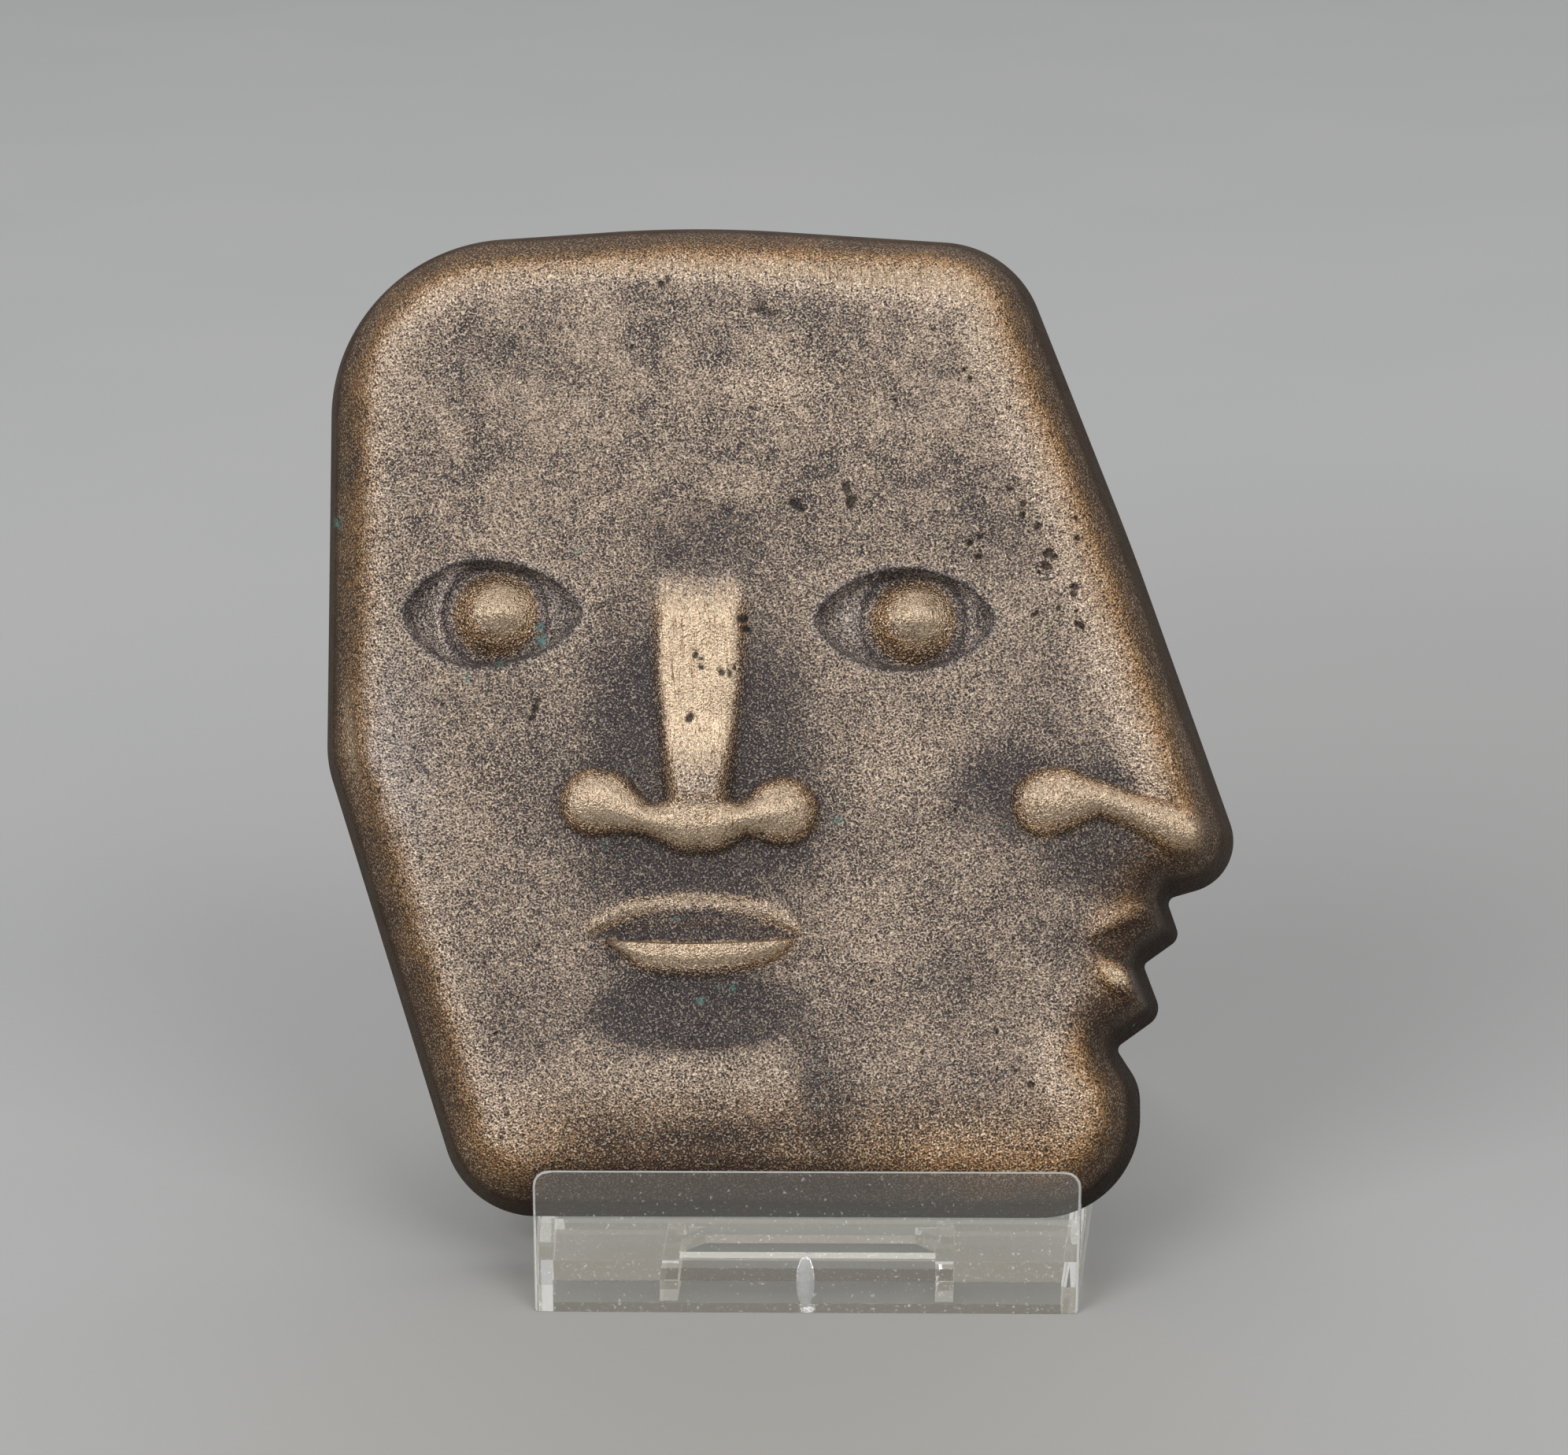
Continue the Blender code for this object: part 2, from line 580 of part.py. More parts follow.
def side_view():
    """The easel's corners in its side view, as (y, z): the sheet's own outline and the side plate's."""
    up = Vector((math.sin(LEAN), math.cos(LEAN)))
    back = Vector((math.cos(LEAN), -math.sin(LEAN)))
    under = -3.0 * SHEET

    def at_height(start, height):
        return start + up * ((height - start.y) / up.y)

    lip_back = back * SHEET
    ledge_depth = (PLAQUE_THICKNESS + SLOT_CLEARANCE + REST_GAP) / math.cos(LEAN)
    ledge_front = at_height(lip_back, LEDGE_TOP)
    ledge_back = ledge_front + Vector((ledge_depth, 0.0))
    panel_top = ledge_back + up * PANEL_HEIGHT
    panel_rear = ledge_back + back * SHEET
    ledge_under = LEDGE_TOP - SHEET
    sheet = [
        at_height(Vector((0.0, 0.0)), under),
        up * LIP_HEIGHT,
        up * LIP_HEIGHT + lip_back,
        ledge_front,
        ledge_back,
        panel_top,
        panel_top + back * SHEET,
        at_height(panel_rear, ledge_under),
        at_height(lip_back, ledge_under),
        at_height(lip_back, under),
    ]
    middle = back * (0.5 * SHEET)
    ledge_middle = LEDGE_TOP - 0.5 * SHEET
    plate = [
        at_height(middle, under),
        Vector((BASE_DEPTH, under)),
        Vector((BASE_DEPTH, HEEL_HEIGHT)),
        panel_top + middle - up * SHEET,
        at_height(ledge_back + middle, ledge_middle),
        at_height(middle, ledge_middle),
    ]
    return sheet, plate, ledge_back, ledge_front


def build_easel(collection, cutters, material):
    """One clear moulding: a lip, a ledge and a leaning panel between two side plates that spread backwards."""
    sheet, plate, ledge_back, ledge_front = side_view()
    up = Vector((0.0, math.sin(LEAN), math.cos(LEAN)))
    wide = LIP_WIDTH
    tall = LIP_HEIGHT + PANEL_HEIGHT
    half = 0.5 * LIP_WIDTH
    easel = extruded("display_easel", sheet, wide, collection)
    plates = extruded("side_plates", plate, wide + SHEET, cutters)
    inner_half = half - SHEET / math.cos(SIDE_FLARE)
    inner = wedge("between_side_plates", inner_half, SIDE_FLARE, -wide, 2.0 * wide, -tall, tall, cutters)
    join(plates, inner, "DIFFERENCE")
    join(easel, plates, "UNION")
    for side in (-1.0, 1.0):
        rib_outline = (ledge_front, ledge_back, (ledge_back.x + 0.5 * SHEET, -SHEET), (SHEET, -SHEET))
        rib = extruded("ledge_rib", rib_outline, 0.5 * SHEET, cutters)
        rib.location.x = side * 0.5 * (WINDOW_WIDTH + SHEET)
        bpy.context.view_layer.update()
        join(easel, rib, "UNION")
    envelope = wedge("whole_width", half, SIDE_FLARE, -wide, 2.0 * wide, 0.0, tall, cutters)
    join(easel, envelope, "INTERSECT")
    cut_window(easel, ledge_back, up, cutters)
    cut_ledge_slot(easel, ledge_front, ledge_back, cutters)
    round_corners(easel, up * LIP_HEIGHT, LIP_CORNER_RADIUS)
    round_corners(easel, Vector((0.0, ledge_back.x, ledge_back.y)) + up * PANEL_HEIGHT, PANEL_CORNER_RADIUS)
    add_nub(easel, up, cutters)
    easel.data.materials.clear()
    easel.data.materials.append(material)
    return easel


def round_corners(easel, top, radius):
    """Rounds the sheet's two corners at the height of this top edge."""
    across = Vector((0.0, math.cos(LEAN), -math.sin(LEAN)))
    bm = bmesh.new()
    bm.from_mesh(easel.data)
    corners = []
    for edge in bm.edges:
        run = edge.verts[1].co - edge.verts[0].co
        middle = 0.5 * (edge.verts[0].co + edge.verts[1].co)
        through = (middle - top - across * (0.5 * SHEET)).yz.length < 0.4 * SHEET
        if through and abs(run.normalized().dot(across)) > 0.9 and abs(middle.x) > 0.4 * LIP_WIDTH:
            corners.append(edge)
    bmesh.ops.bevel(bm, geom=corners, offset=radius, segments=4, profile=0.5, affect="EDGES")
    bm.to_mesh(easel.data)
    bm.free()


def cut_window(easel, ledge_back, up, cutters):
    """The opening in the leaning panel, from the ledge up to its margin."""
    bpy.ops.mesh.primitive_cube_add(size=1.0)
    window = bpy.context.object
    window.name = "panel_window"
    height = PANEL_HEIGHT - WINDOW_MARGIN
    window.scale = (WINDOW_WIDTH, 6.0 * SHEET, height)
    window.rotation_euler = (-LEAN, 0.0, 0.0)
    start = Vector((0.0, ledge_back.x, ledge_back.y))
    window.location = start + up * (0.5 * height + 0.5 * WINDOW_MARGIN)
    put_in(window, cutters)
    join(easel, window, "DIFFERENCE")


def cut_ledge_slot(easel, ledge_front, ledge_back, cutters):
    """The slot through the middle of the ledge, with its two back corners cut off."""
    low = ledge_front.x + LEDGE_SLOT_BAR
    high = ledge_back.x - LEDGE_SLOT_BAR
    half = 0.5 * WINDOW_WIDTH
    plan = [(-half, low), (half, low), (half, high - SLOT_CHAMFER), (half - SLOT_CHAMFER, high)]
    plan += [(-half + SLOT_CHAMFER, high), (-half, high - SLOT_CHAMFER)]
    mesh = bpy.data.meshes.new("ledge_slot")
    bm = bmesh.new()
    floor = bm.faces.new([bm.verts.new((x, y, -SHEET)) for x, y in plan])
    grown = bmesh.ops.extrude_face_region(bm, geom=[floor])
    moved = [item for item in grown["geom"] if isinstance(item, bmesh.types.BMVert)]
    bmesh.ops.translate(bm, verts=moved, vec=(0.0, 0.0, LEDGE_TOP + 2.0 * SHEET))
    bmesh.ops.recalc_face_normals(bm, faces=bm.faces[:])
    bm.to_mesh(mesh)
    bm.free()
    slot = link_object("ledge_slot", mesh, cutters)
    join(easel, slot, "DIFFERENCE")


def add_nub(easel, up, cutters):
    """The moulding's small gate mark on the front, below the ledge."""
    bpy.ops.mesh.primitive_uv_sphere_add(segments=12, ring_count=6, radius=0.5)
    nub = bpy.context.object
    nub.name = "gate_nub"
    nub.scale = (NUB_WIDTH, 2.0 * NUB_PROUD, NUB_HEIGHT)
    nub.rotation_euler = (-LEAN, 0.0, 0.0)
    nub.location = up * NUB_LIFT
    put_in(nub, cutters)
    join(easel, nub, "UNION")


def put_in(piece, collection):
    for user in list(piece.users_collection):
        user.objects.unlink(piece)
    collection.objects.link(piece)
    bpy.context.view_layer.update()


def centre_on_floor(parts):
    """Moves the finished pieces together, so that the origin is under the middle of them all."""
    bpy.context.view_layer.update()
    corners = [piece.matrix_world @ vertex.co for piece in parts.objects for vertex in piece.data.vertices]
    middle_x = 0.5 * (min(corner.x for corner in corners) + max(corner.x for corner in corners))
    middle_y = 0.5 * (min(corner.y for corner in corners) + max(corner.y for corner in corners))
    for piece in parts.objects:
        piece.location -= Vector((middle_x, middle_y, 0.0))


def main():
    for old in list(bpy.data.objects):
        bpy.data.objects.remove(old)
    parts = bpy.data.collections.new("relief plaque on easel")
    cutters = bpy.data.collections.new("cutters")
    for collection in (parts, cutters):
        bpy.context.scene.collection.children.link(collection)
    bronze = metal("bronze", (0.30, 0.23, 0.16), 0.45, 0.9)
    ledge_back = side_view()[2]
    clear_of_panel = REST_GAP / math.cos(LEAN) - REST_GAP * math.tan(LEAN)
    foot = Vector((0.0, ledge_back.x - clear_of_panel, ledge_back.y + REST_GAP))
    build_plaque(parts, bronze, foot)
    build_easel(parts, cutters, clear_plastic("clear plastic"))
    cutters.hide_render = True
    centre_on_floor(parts)


main()
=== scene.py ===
# Dresses the bronze relief and its clear easel, lights them and sets the camera
import math

import bmesh
import bpy
import numpy as np
from mathutils import Matrix, Vector, geometry, noise


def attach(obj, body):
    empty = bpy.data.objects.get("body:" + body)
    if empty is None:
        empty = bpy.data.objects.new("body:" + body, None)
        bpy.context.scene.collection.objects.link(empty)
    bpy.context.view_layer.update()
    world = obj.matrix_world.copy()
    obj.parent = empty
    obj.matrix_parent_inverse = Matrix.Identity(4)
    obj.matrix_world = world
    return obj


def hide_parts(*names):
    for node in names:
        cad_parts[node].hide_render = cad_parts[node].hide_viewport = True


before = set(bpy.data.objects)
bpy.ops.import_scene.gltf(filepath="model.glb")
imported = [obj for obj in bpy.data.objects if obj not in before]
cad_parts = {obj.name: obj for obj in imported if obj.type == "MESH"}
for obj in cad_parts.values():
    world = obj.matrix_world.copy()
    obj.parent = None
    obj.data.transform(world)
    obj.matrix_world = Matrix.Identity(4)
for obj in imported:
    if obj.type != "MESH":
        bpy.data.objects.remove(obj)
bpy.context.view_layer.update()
print("frame loaded:", ", ".join(sorted(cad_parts)))

# The plaque in millimetres: x to the viewer's right, y up the plaque, height out from its back
plaque = {
    "lean": 26.0,
    "foot": (4.273, -20.0103, 4.5),
    "thickness": 9.0,
    "wallHeight": 4.3,
    "wallDraft": 1.3,
    "backEdge": 0.3,
    "rimWidth": 6.0,
    "rimSide": 0.0035,
    "rimAtMouth": (20.0, 34.0, 29.0, 9.0, 0.45),  # from x, to x, y, reach, how much narrower
    "sharpAngle": 55.0,
    "outlineStep": 0.55,
    "lineStep": 0.4,
    "rimSteps": (0.0, 0.06, 0.13, 0.21, 0.3, 0.4, 0.51, 0.63, 0.76, 0.9, 1.05),
    "plainStep": 0.62,
    "fineStep": 0.36,
    "corners": [  # the head's outline: x, y and radius
        (-39.3, 0, 11),
        (37.4, 0, 11.5),
        (37.4, 15, 6),
        (34.7, 19.2, 0.8),
        (40, 23, 2.2),
        (37.9, 28.7, 0.7),
        (42.1, 31.7, 1.5),
        (40.6, 36.2, 0.9),
        (50, 38.9, 6),
        (37.1, 76.8, 300),
        (23.4, 113, 12.5),
        (-14, 115.9, 150),
        (-57, 113.4, 21),
        (-56.5, 52.2, 14),
    ],
}

eyes = {
    "pair": [
        {"x": -36.3, "y": 68.3, "long": 10.3, "tall": 6.2, "skew": -1.4, "disc": 0.3, "crescent": 180.0},
        {"x": 10.9, "y": 67.3, "long": 10.2, "tall": 5.9, "skew": 0.0, "disc": 0.9, "crescent": 0.0},
    ],
    "point": 0.68,
    "depth": 1.6,
    "wall": 0.6,
    "swell": 1.3,
    "discRadius": 6.0,
    "discDepth": 0.45,
    "domeRadius": 5.1,
    "domeRise": 2.0,
    "crescentRise": 0.45,
    "crescentRadius": 6.9,
}

nose = {
    "x": -12.5,
    "top": 71.2,
    "bend": 60.0,
    "bottom": 45.0,
    "halfWidths": (2.1, 3.9, 4.2),  # of the bar, at the bottom, the bend and the top
    "barRise": 1.5,
    "barEdge": 2.0,
    "tipRise": 2.6,
    "tip": [  # x, y, radius to x, y, radius
        (-24.3, 46.5, 4.0, -23.0, 46.4, 3.9),
        (-23.0, 46.4, 3.9, -18.4, 44.4, 1.9),
        (-18.4, 44.4, 1.9, -13.8, 43.9, 3.5),
        (-13.8, 43.9, 3.5, -10.8, 43.9, 3.5),
        (-10.8, 43.9, 3.5, -7.2, 44.4, 2.1),
        (-7.2, 44.4, 2.1, -3.4, 45.3, 4.0),
        (-3.4, 45.3, 4.0, -2.8, 45.4, 4.1),
    ],
    "sideRise": 2.2,
    "side": [
        (26.8, 46.3, 4.0, 28.4, 46.6, 3.9),
        (28.4, 46.6, 3.9, 33.0, 46.7, 2.2),
        (33.0, 46.7, 2.2, 37.0, 45.1, 2.1),
        (37.0, 45.1, 2.1, 42.4, 42.9, 3.2),
    ],
}

mouth = {
    "x": -12.9,
    "y": 31.2,
    "half": 12.8,
    "upper": 5.1,
    "lower": 4.3,
    "gap": 0.6,
    "upperRise": 0.8,
    "lowerRise": 1.6,
    "depth": 2.3,
}

# The profile's upper lip rises to this line and drops below it
lipFold = {"x": 30.3, "y": 30.5, "turn": 30.0, "rise": 1.35, "above": 2.2, "drop": 0.5, "spread": 0.3}

softForms = [  # x, y, half width, half height, turn in degrees, rise
    (-19.4, 58.5, 6.5, 15, 4, -1.8),
    (-5.6, 58.5, 6, 15, -4, -1.8),
    (-12, 75.5, 8, 6.5, 0, -1),
    (-29.5, 47.5, 5, 8, 0, -0.7),
    (4, 47, 5, 8, 0, -0.7),
    (-12.5, 38.6, 15.5, 4.2, 0, -1.8),
    (-12.5, 22.6, 14, 4.4, 0, -2.3),
    (-13, 15, 20, 7.5, 0, 1.1),
    (3.4, 14, 4.6, 15, 10, -1.5),
    (17, 52, 12, 5, 25, -0.8),
    (22, 49, 5.5, 7.5, 0, -1.1),
    (33.5, 40.6, 7.5, 4.4, -14, -2.9),
    (41.5, 38.6, 8, 3.6, 18, -3),
    (38.2, 28.9, 7.6, 1.9, -14, -1.9),
    (37.4, 25.9, 6.4, 3.6, -25, 2),
    (40.8, 50.5, 8.5, 6.5, -55, 1.2),
    (34.4, 21.6, 5.5, 3.2, -35, -2.4),
    (30.5, 13, 8, 8.5, 0, 0.7),
    (-8, 93, 60, 28, 0, 0.5),
    (-2, 1, 44, 9, 0, -2),
]

# Casting pits and dents: x, y, radius, depth
pits = [
    (-12.8, 63.1, 0.42, 0.3), (-12.2, 62.7, 0.25, 0.25), (-12.1, 61.7, 0.36, 0.25),
    (-9.8, 61.1, 0.45, 0.3), (-8.9, 60.9, 0.42, 0.3), (-8.4, 61.6, 0.3, 0.25), (-13.4, 55.9, 0.6, 0.35),
    (-7.5, 67.4, 0.7, 0.6), (-7.2, 66.3, 0.55, 0.5),
    (-17.2, 106.8, 0.45, 0.35), (-16.4, 107.2, 0.3, 0.3), (17.7, 96.3, 0.35, 0.3), (18.4, 95.3, 0.3, 0.3),
    (27.2, 74.9, 0.75, 0.45), (27.9, 74.5, 0.5, 0.4), (27.0, 73.4, 0.65, 0.45), (26.2, 72.7, 0.3, 0.3),
    (24.4, 80.6, 0.4, 0.35), (24.3, 79.3, 0.5, 0.35), (26.1, 78.0, 0.55, 0.4), (22.9, 82.3, 0.4, 0.3),
    (30.2, 71.0, 0.6, 0.4), (30.1, 70.2, 0.45, 0.35), (31.0, 66.5, 0.5, 0.4), (30.4, 66.8, 0.4, 0.4),
    (18.3, 76.1, 0.45, 0.4), (19.5, 76.8, 0.4, 0.3), (19.3, 74.5, 0.5, 0.4), (30.5, 76.6, 0.4, 0.35),
    (30.4, 78.9, 0.35, 0.3), (28.4, 68.6, 0.35, 0.3), (25.9, 68.0, 0.4, 0.3), (30.4, 68.2, 0.3, 0.3),
    (25.0, 14.6, 0.5, 0.35), (23.3, 16.2, 0.3, 0.3), (26.7, 7.4, 0.3, 0.3), (21.2, 20.5, 0.3, 0.3),
    (-31.2, 57.3, 0.6, 0.3), (-31.6, 56.2, 0.5, 0.3), (-30.9, 58.2, 0.4, 0.25),
    (-1.6, 80.8, 0.9, 0.35), (-0.9, 80.2, 0.6, 0.3), (4.2, 82.6, 0.8, 0.3), (4.8, 81.0, 0.9, 0.35),
    (-20.5, 99.2, 0.3, 0.25), (-6.7, 92.0, 0.3, 0.25), (9.8, 92.8, 0.35, 0.3), (14.2, 101.0, 0.3, 0.25),
    (-44.0, 40.2, 0.3, 0.25), (-30.5, 30.2, 0.35, 0.25), (7.2, 26.2, 0.3, 0.25), (-35.2, 20.3, 0.3, 0.25),
]
pitShare = 0.74  # how much of its radius a pit keeps
gouge = {"from": (-6.3, 103.9), "to": (-4.3, 103.0), "width": 0.45, "depth": 0.45}


def smoothStep(low, high, value):
    share = np.clip((value - low) / (high - low), 0.0, 1.0)
    return share * share * (3.0 - 2.0 * share)


def smoothMax(first, second, blend):
    share = np.clip(0.5 + 0.5 * (first - second) / blend, 0.0, 1.0)
    return second + (first - second) * share + blend * share * (1.0 - share)


def roundedOutline(corners, step):
    # Walks the corners, turning each into an arc, then fills the straight runs
    points = []
    for index, (x, y, radius) in enumerate(corners):
        corner = Vector((x, y))
        before = (Vector(corners[index - 1][:2]) - corner).normalized()
        after = (Vector(corners[(index + 1) % len(corners)][:2]) - corner).normalized()
        halfAngle = 0.5 * before.angle(after)
        reach = radius / math.tan(halfAngle)
        centre = corner + (before + after).normalized() * (radius / math.sin(halfAngle))
        start = corner + before * reach - centre
        turn = start.angle_signed(corner + after * reach - centre)
        parts = max(2, math.ceil(abs(turn) * radius / step), math.ceil(abs(turn) / math.radians(12.0)))
        for part in range(parts + 1):
            points.append(centre + Matrix.Rotation(-turn * part / parts, 2) @ start)
    filled = []
    for index, point in enumerate(points):
        ahead = points[(index + 1) % len(points)]
        pieces = max(1, math.ceil((ahead - point).length / step - 0.01))
        filled += [tuple(point.lerp(ahead, part / pieces)) for part in range(pieces)]
    return np.array(filled)


def edgeDistance(x, y, outline):
    # Nearest distance to the outline, worked out a block at a time
    run = np.roll(outline, -1, axis=0) - outline
    squared = np.maximum((run ** 2).sum(axis=1), 1e-12)
    found = np.zeros(len(x))
    for first in range(0, len(x), 4000):
        fromX = x[first:first + 4000, None] - outline[:, 0]
        fromY = y[first:first + 4000, None] - outline[:, 1]
        along = np.clip((fromX * run[:, 0] + fromY * run[:, 1]) / squared, 0.0, 1.0)
        away = (fromX - along * run[:, 0]) ** 2 + (fromY - along * run[:, 1]) ** 2
        found[first:first + 4000] = np.sqrt(away.min(axis=1))
    return found


def isInside(x, y, outline):
    ahead = np.roll(outline, -1, axis=0)
    slope = (ahead[:, 0] - outline[:, 0]) / (ahead[:, 1] - outline[:, 1] + 1e-12)
    found = np.zeros(len(x), bool)
    for first in range(0, len(x), 4000):
        level = y[first:first + 4000, None]
        crosses = (outline[:, 1] > level) != (ahead[:, 1] > level)
        meets = outline[:, 0] + slope * (level - outline[:, 1])
        found[first:first + 4000] = (crosses & (x[first:first + 4000, None] < meets)).sum(axis=1) % 2 == 1
    return found


def alongLine(x, y, x0, y0, x1, y1):
    # How far along a line the nearest point of it lies, and how far away
    along = ((x - x0) * (x1 - x0) + (y - y0) * (y1 - y0)) / ((x1 - x0) ** 2 + (y1 - y0) ** 2)
    along = np.clip(along, 0.0, 1.0)
    return along, np.hypot(x - x0 - along * (x1 - x0), y - y0 - along * (y1 - y0))


def strokeDome(x, y, strokes):
    dome = np.zeros_like(x)
    for x0, y0, r0, x1, y1, r1 in strokes:
        along, away = alongLine(x, y, x0, y0, x1, y1)
        share = np.clip(away / (r0 + along * (r1 - r0)), 0.0, 1.0)
        dome = np.maximum(dome, (1.0 - share ** 2.2) ** 0.75)
    return dome


def softForm(x, y, form):
    centreX, centreY, halfWidth, halfHeight, turn, rise = form
    turn = math.radians(turn)
    across = ((x - centreX) * math.cos(turn) + (y - centreY) * math.sin(turn)) / halfWidth
    up = ((y - centreY) * math.cos(turn) - (x - centreX) * math.sin(turn)) / halfHeight
    return rise * np.clip(1.0 - across ** 2 - up ** 2, 0.0, 1.0) ** 1.5


def almond(x, y, eye):
    across = x - eye["x"] - eye["skew"]
    reach = np.where(across < 0.0, eye["long"] + eye["skew"], eye["long"] - eye["skew"])
    return (np.abs(across) / reach) ** 2 + (np.abs(y - eye["y"]) / eye["tall"]) ** (1.0 / eyes["point"])


def discDistance(x, y, eye, right=0.0, up=0.0):
    return np.hypot(x - eye["x"] - eye["disc"] - right, y - eye["y"] - up)


def eyeShape(x, y, eye):
    # The socket, its swell with a crisp round step, the dome, and a crescent beside it
    ratio = almond(x, y, eye)
    socket = 1.0 - smoothStep(1.0 - 2.2 * eyes["wall"] / eye["tall"], 1.0, ratio)
    away = discDistance(x, y, eye)
    dome = eyes["domeRise"] * np.clip(1.0 - (away / eyes["domeRadius"]) ** 2, 0.0, 1.0) ** 1.4
    disc = eyes["discDepth"] * (1.0 - smoothStep(eyes["discRadius"] - 0.25, eyes["discRadius"] + 0.1, away))
    swell = eyes["swell"] * np.clip(1.0 - ratio, 0.0, 1.0)
    facing = math.radians(eye["crescent"])
    across = (x - eye["x"] - eye["disc"]) * math.cos(facing) + (y - eye["y"]) * math.sin(facing)
    crescent = eyes["crescentRise"] * np.exp(-((away - eyes["crescentRadius"]) / 0.55) ** 2)
    crescent = crescent * smoothStep(0.45, 0.85, across / (away + 0.01))
    return socket * (swell + dome - disc - eyes["depth"]) + crescent * smoothStep(1.02, 0.8, ratio)


def barHalf(y):
    return np.interp(y, (nose["bottom"], nose["bend"], nose["top"]), nose["halfWidths"])


def barSides(x, y):
    return 1.0 - smoothStep(barHalf(y) - 0.4, barHalf(y) + nose["barEdge"], np.abs(x - nose["x"]))


def barShape(x, y):
    ends = smoothStep(nose["bottom"] - 2.0, nose["bottom"], y)
    return barSides(x, y) * ends * (1.0 - smoothStep(nose["top"] - 4.5, nose["top"] + 3.5, y))


def mouthEdges(x):
    share = (x - mouth["x"]) / mouth["half"]
    bow = np.clip(1.0 - share ** 2, 0.0, 1.0)
    line = mouth["y"] - mouth["gap"] * bow
    sag = mouth["lower"] * np.clip(1.0 - (share / 0.9) ** 2, 0.0, 1.0) ** 0.5
    lower = line - np.minimum(sag, np.clip((share + 0.8) * 11.0, 0.0, 9.0))
    return mouth["y"] + mouth["upper"] * bow ** 0.65, line, lower, bow


def lipShape(x, y):
    # The upper lip's ridge, the opening below it and the lower lip's roll
    upper, line, lower, bow = mouthEdges(x)
    within = smoothStep(0.0, 0.25, bow)
    ridge = np.exp(-((y - upper + 0.9) / 1.5) ** 2) * within
    fall = np.clip((upper - 0.8 - y) / np.maximum(upper - 0.8 - line, 0.3), 0.0, 1.0)
    steps = 0.25 * fall + 0.75 * smoothStep(0.3, 0.95, fall)
    opening = within * steps * smoothStep(line - 0.35, line + 0.35, y)
    across = (y - lower) / np.maximum(line - lower, 0.3)
    roll = smoothStep(-0.15, 0.6, across) * smoothStep(1.12, 0.9, across) * smoothStep(0.12, 0.45, bow)
    return ridge, opening, roll


def foldShape(x, y):
    turn = math.radians(lipFold["turn"])
    along = math.cos(turn) * (x - lipFold["x"]) + math.sin(turn) * (y - lipFold["y"])
    over = math.cos(turn) * (y - lipFold["y"]) - math.sin(turn) * (x - lipFold["x"])
    above = np.exp(-(np.maximum(over, 0.0) / lipFold["above"]) ** 2)
    drop = lipFold["drop"] + lipFold["spread"] * np.maximum(along, 0.0)
    below = 1.0 - smoothStep(0.0, 1.0, -over / drop)
    return smoothStep(-0.5, 3.5, along) * np.where(over > 0.0, above, below)


def carvedRise(x, y):
    rise = sum(softForm(x, y, form) for form in softForms) + lipFold["rise"] * foldShape(x, y)
    ridge, opening, roll = lipShape(x, y)
    rise = rise + mouth["upperRise"] * ridge - mouth["depth"] * opening + mouth["lowerRise"] * roll
    barTop = nose["barRise"] + (nose["tipRise"] - nose["barRise"]) * smoothStep(57.0, 47.0, y)
    rise = smoothMax(rise, barTop * barShape(x, y), 0.3) - 0.075
    for strokes, top in ((nose["tip"], nose["tipRise"]), (nose["side"], nose["sideRise"])):
        rise = rise + strokeDome(x, y, strokes) * np.maximum(top - rise, 0.0)
    for eye in eyes["pair"]:
        rise = rise + eyeShape(x, y, eye)
    return rise


def rimWidth(x, y):
    fromX, toX, middle, reach, share = plaque["rimAtMouth"]
    atMouth = np.exp(-((y - middle) / reach) ** 2) * smoothStep(fromX, toX, x)
    return plaque["rimWidth"] * (1.0 - plaque["rimSide"] * x) * (1.0 - share * atMouth)


def plainHeight(x, y, edge):
    # The drafted wall, the rounded rim and the carved face, before any marks of the casting
    top = plaque["thickness"] + carvedRise(x, y)
    draft, wallTop = plaque["wallDraft"], plaque["wallHeight"]
    low = plaque["backEdge"] + (wallTop - plaque["backEdge"]) * edge / draft
    roll = np.clip((edge - draft) / (rimWidth(x, y) - draft), 0.0, 1.0)
    return np.where(edge < draft, low, wallTop + (top - wallTop) * np.sin(0.5 * math.pi * roll))


def ripples(x, y, size, seed):
    return np.array([noise.noise(Vector((px / size, py / size, seed))) for px, py in zip(x, y)])


def pitDepths(x, y):
    # How deep the pits go at each place, and how dark they are there
    depth, dark = np.zeros_like(x), np.zeros_like(x)
    for index, (centreX, centreY, radius, fall) in enumerate(pits):
        near = (np.abs(x - centreX) < 2.0 * radius) & (np.abs(y - centreY) < 2.0 * radius)
        turn = np.arctan2(y[near] - centreY, x[near] - centreX)
        uneven = 1.0 + 0.2 * np.sin(2.0 * turn + index) + 0.12 * np.sin(5.0 * turn + 2.3 * index)
        share = np.hypot(x[near] - centreX, y[near] - centreY) / (pitShare * radius * uneven)
        depth[near] = np.maximum(depth[near], fall * (1.0 - smoothStep(0.55, 1.15, share)))
        dark[near] = np.maximum(dark[near], 1.0 - smoothStep(0.8, 1.3, share))
    share = alongLine(x, y, *gouge["from"], *gouge["to"])[1] / gouge["width"]
    depth = np.maximum(depth, gouge["depth"] * (1.0 - smoothStep(0.3, 1.1, share)))
    return depth, np.maximum(dark, 0.8 * (1.0 - smoothStep(0.5, 1.1, share)))


def evenAlong(x, y, step):
    along = np.concatenate([[0.0], np.cumsum(np.hypot(np.diff(x), np.diff(y)))])
    marks = np.linspace(0.0, along[-1], max(2, math.ceil(along[-1] / step)) + 1)
    return np.stack([np.interp(marks, along, x), np.interp(marks, along, y)], axis=1)


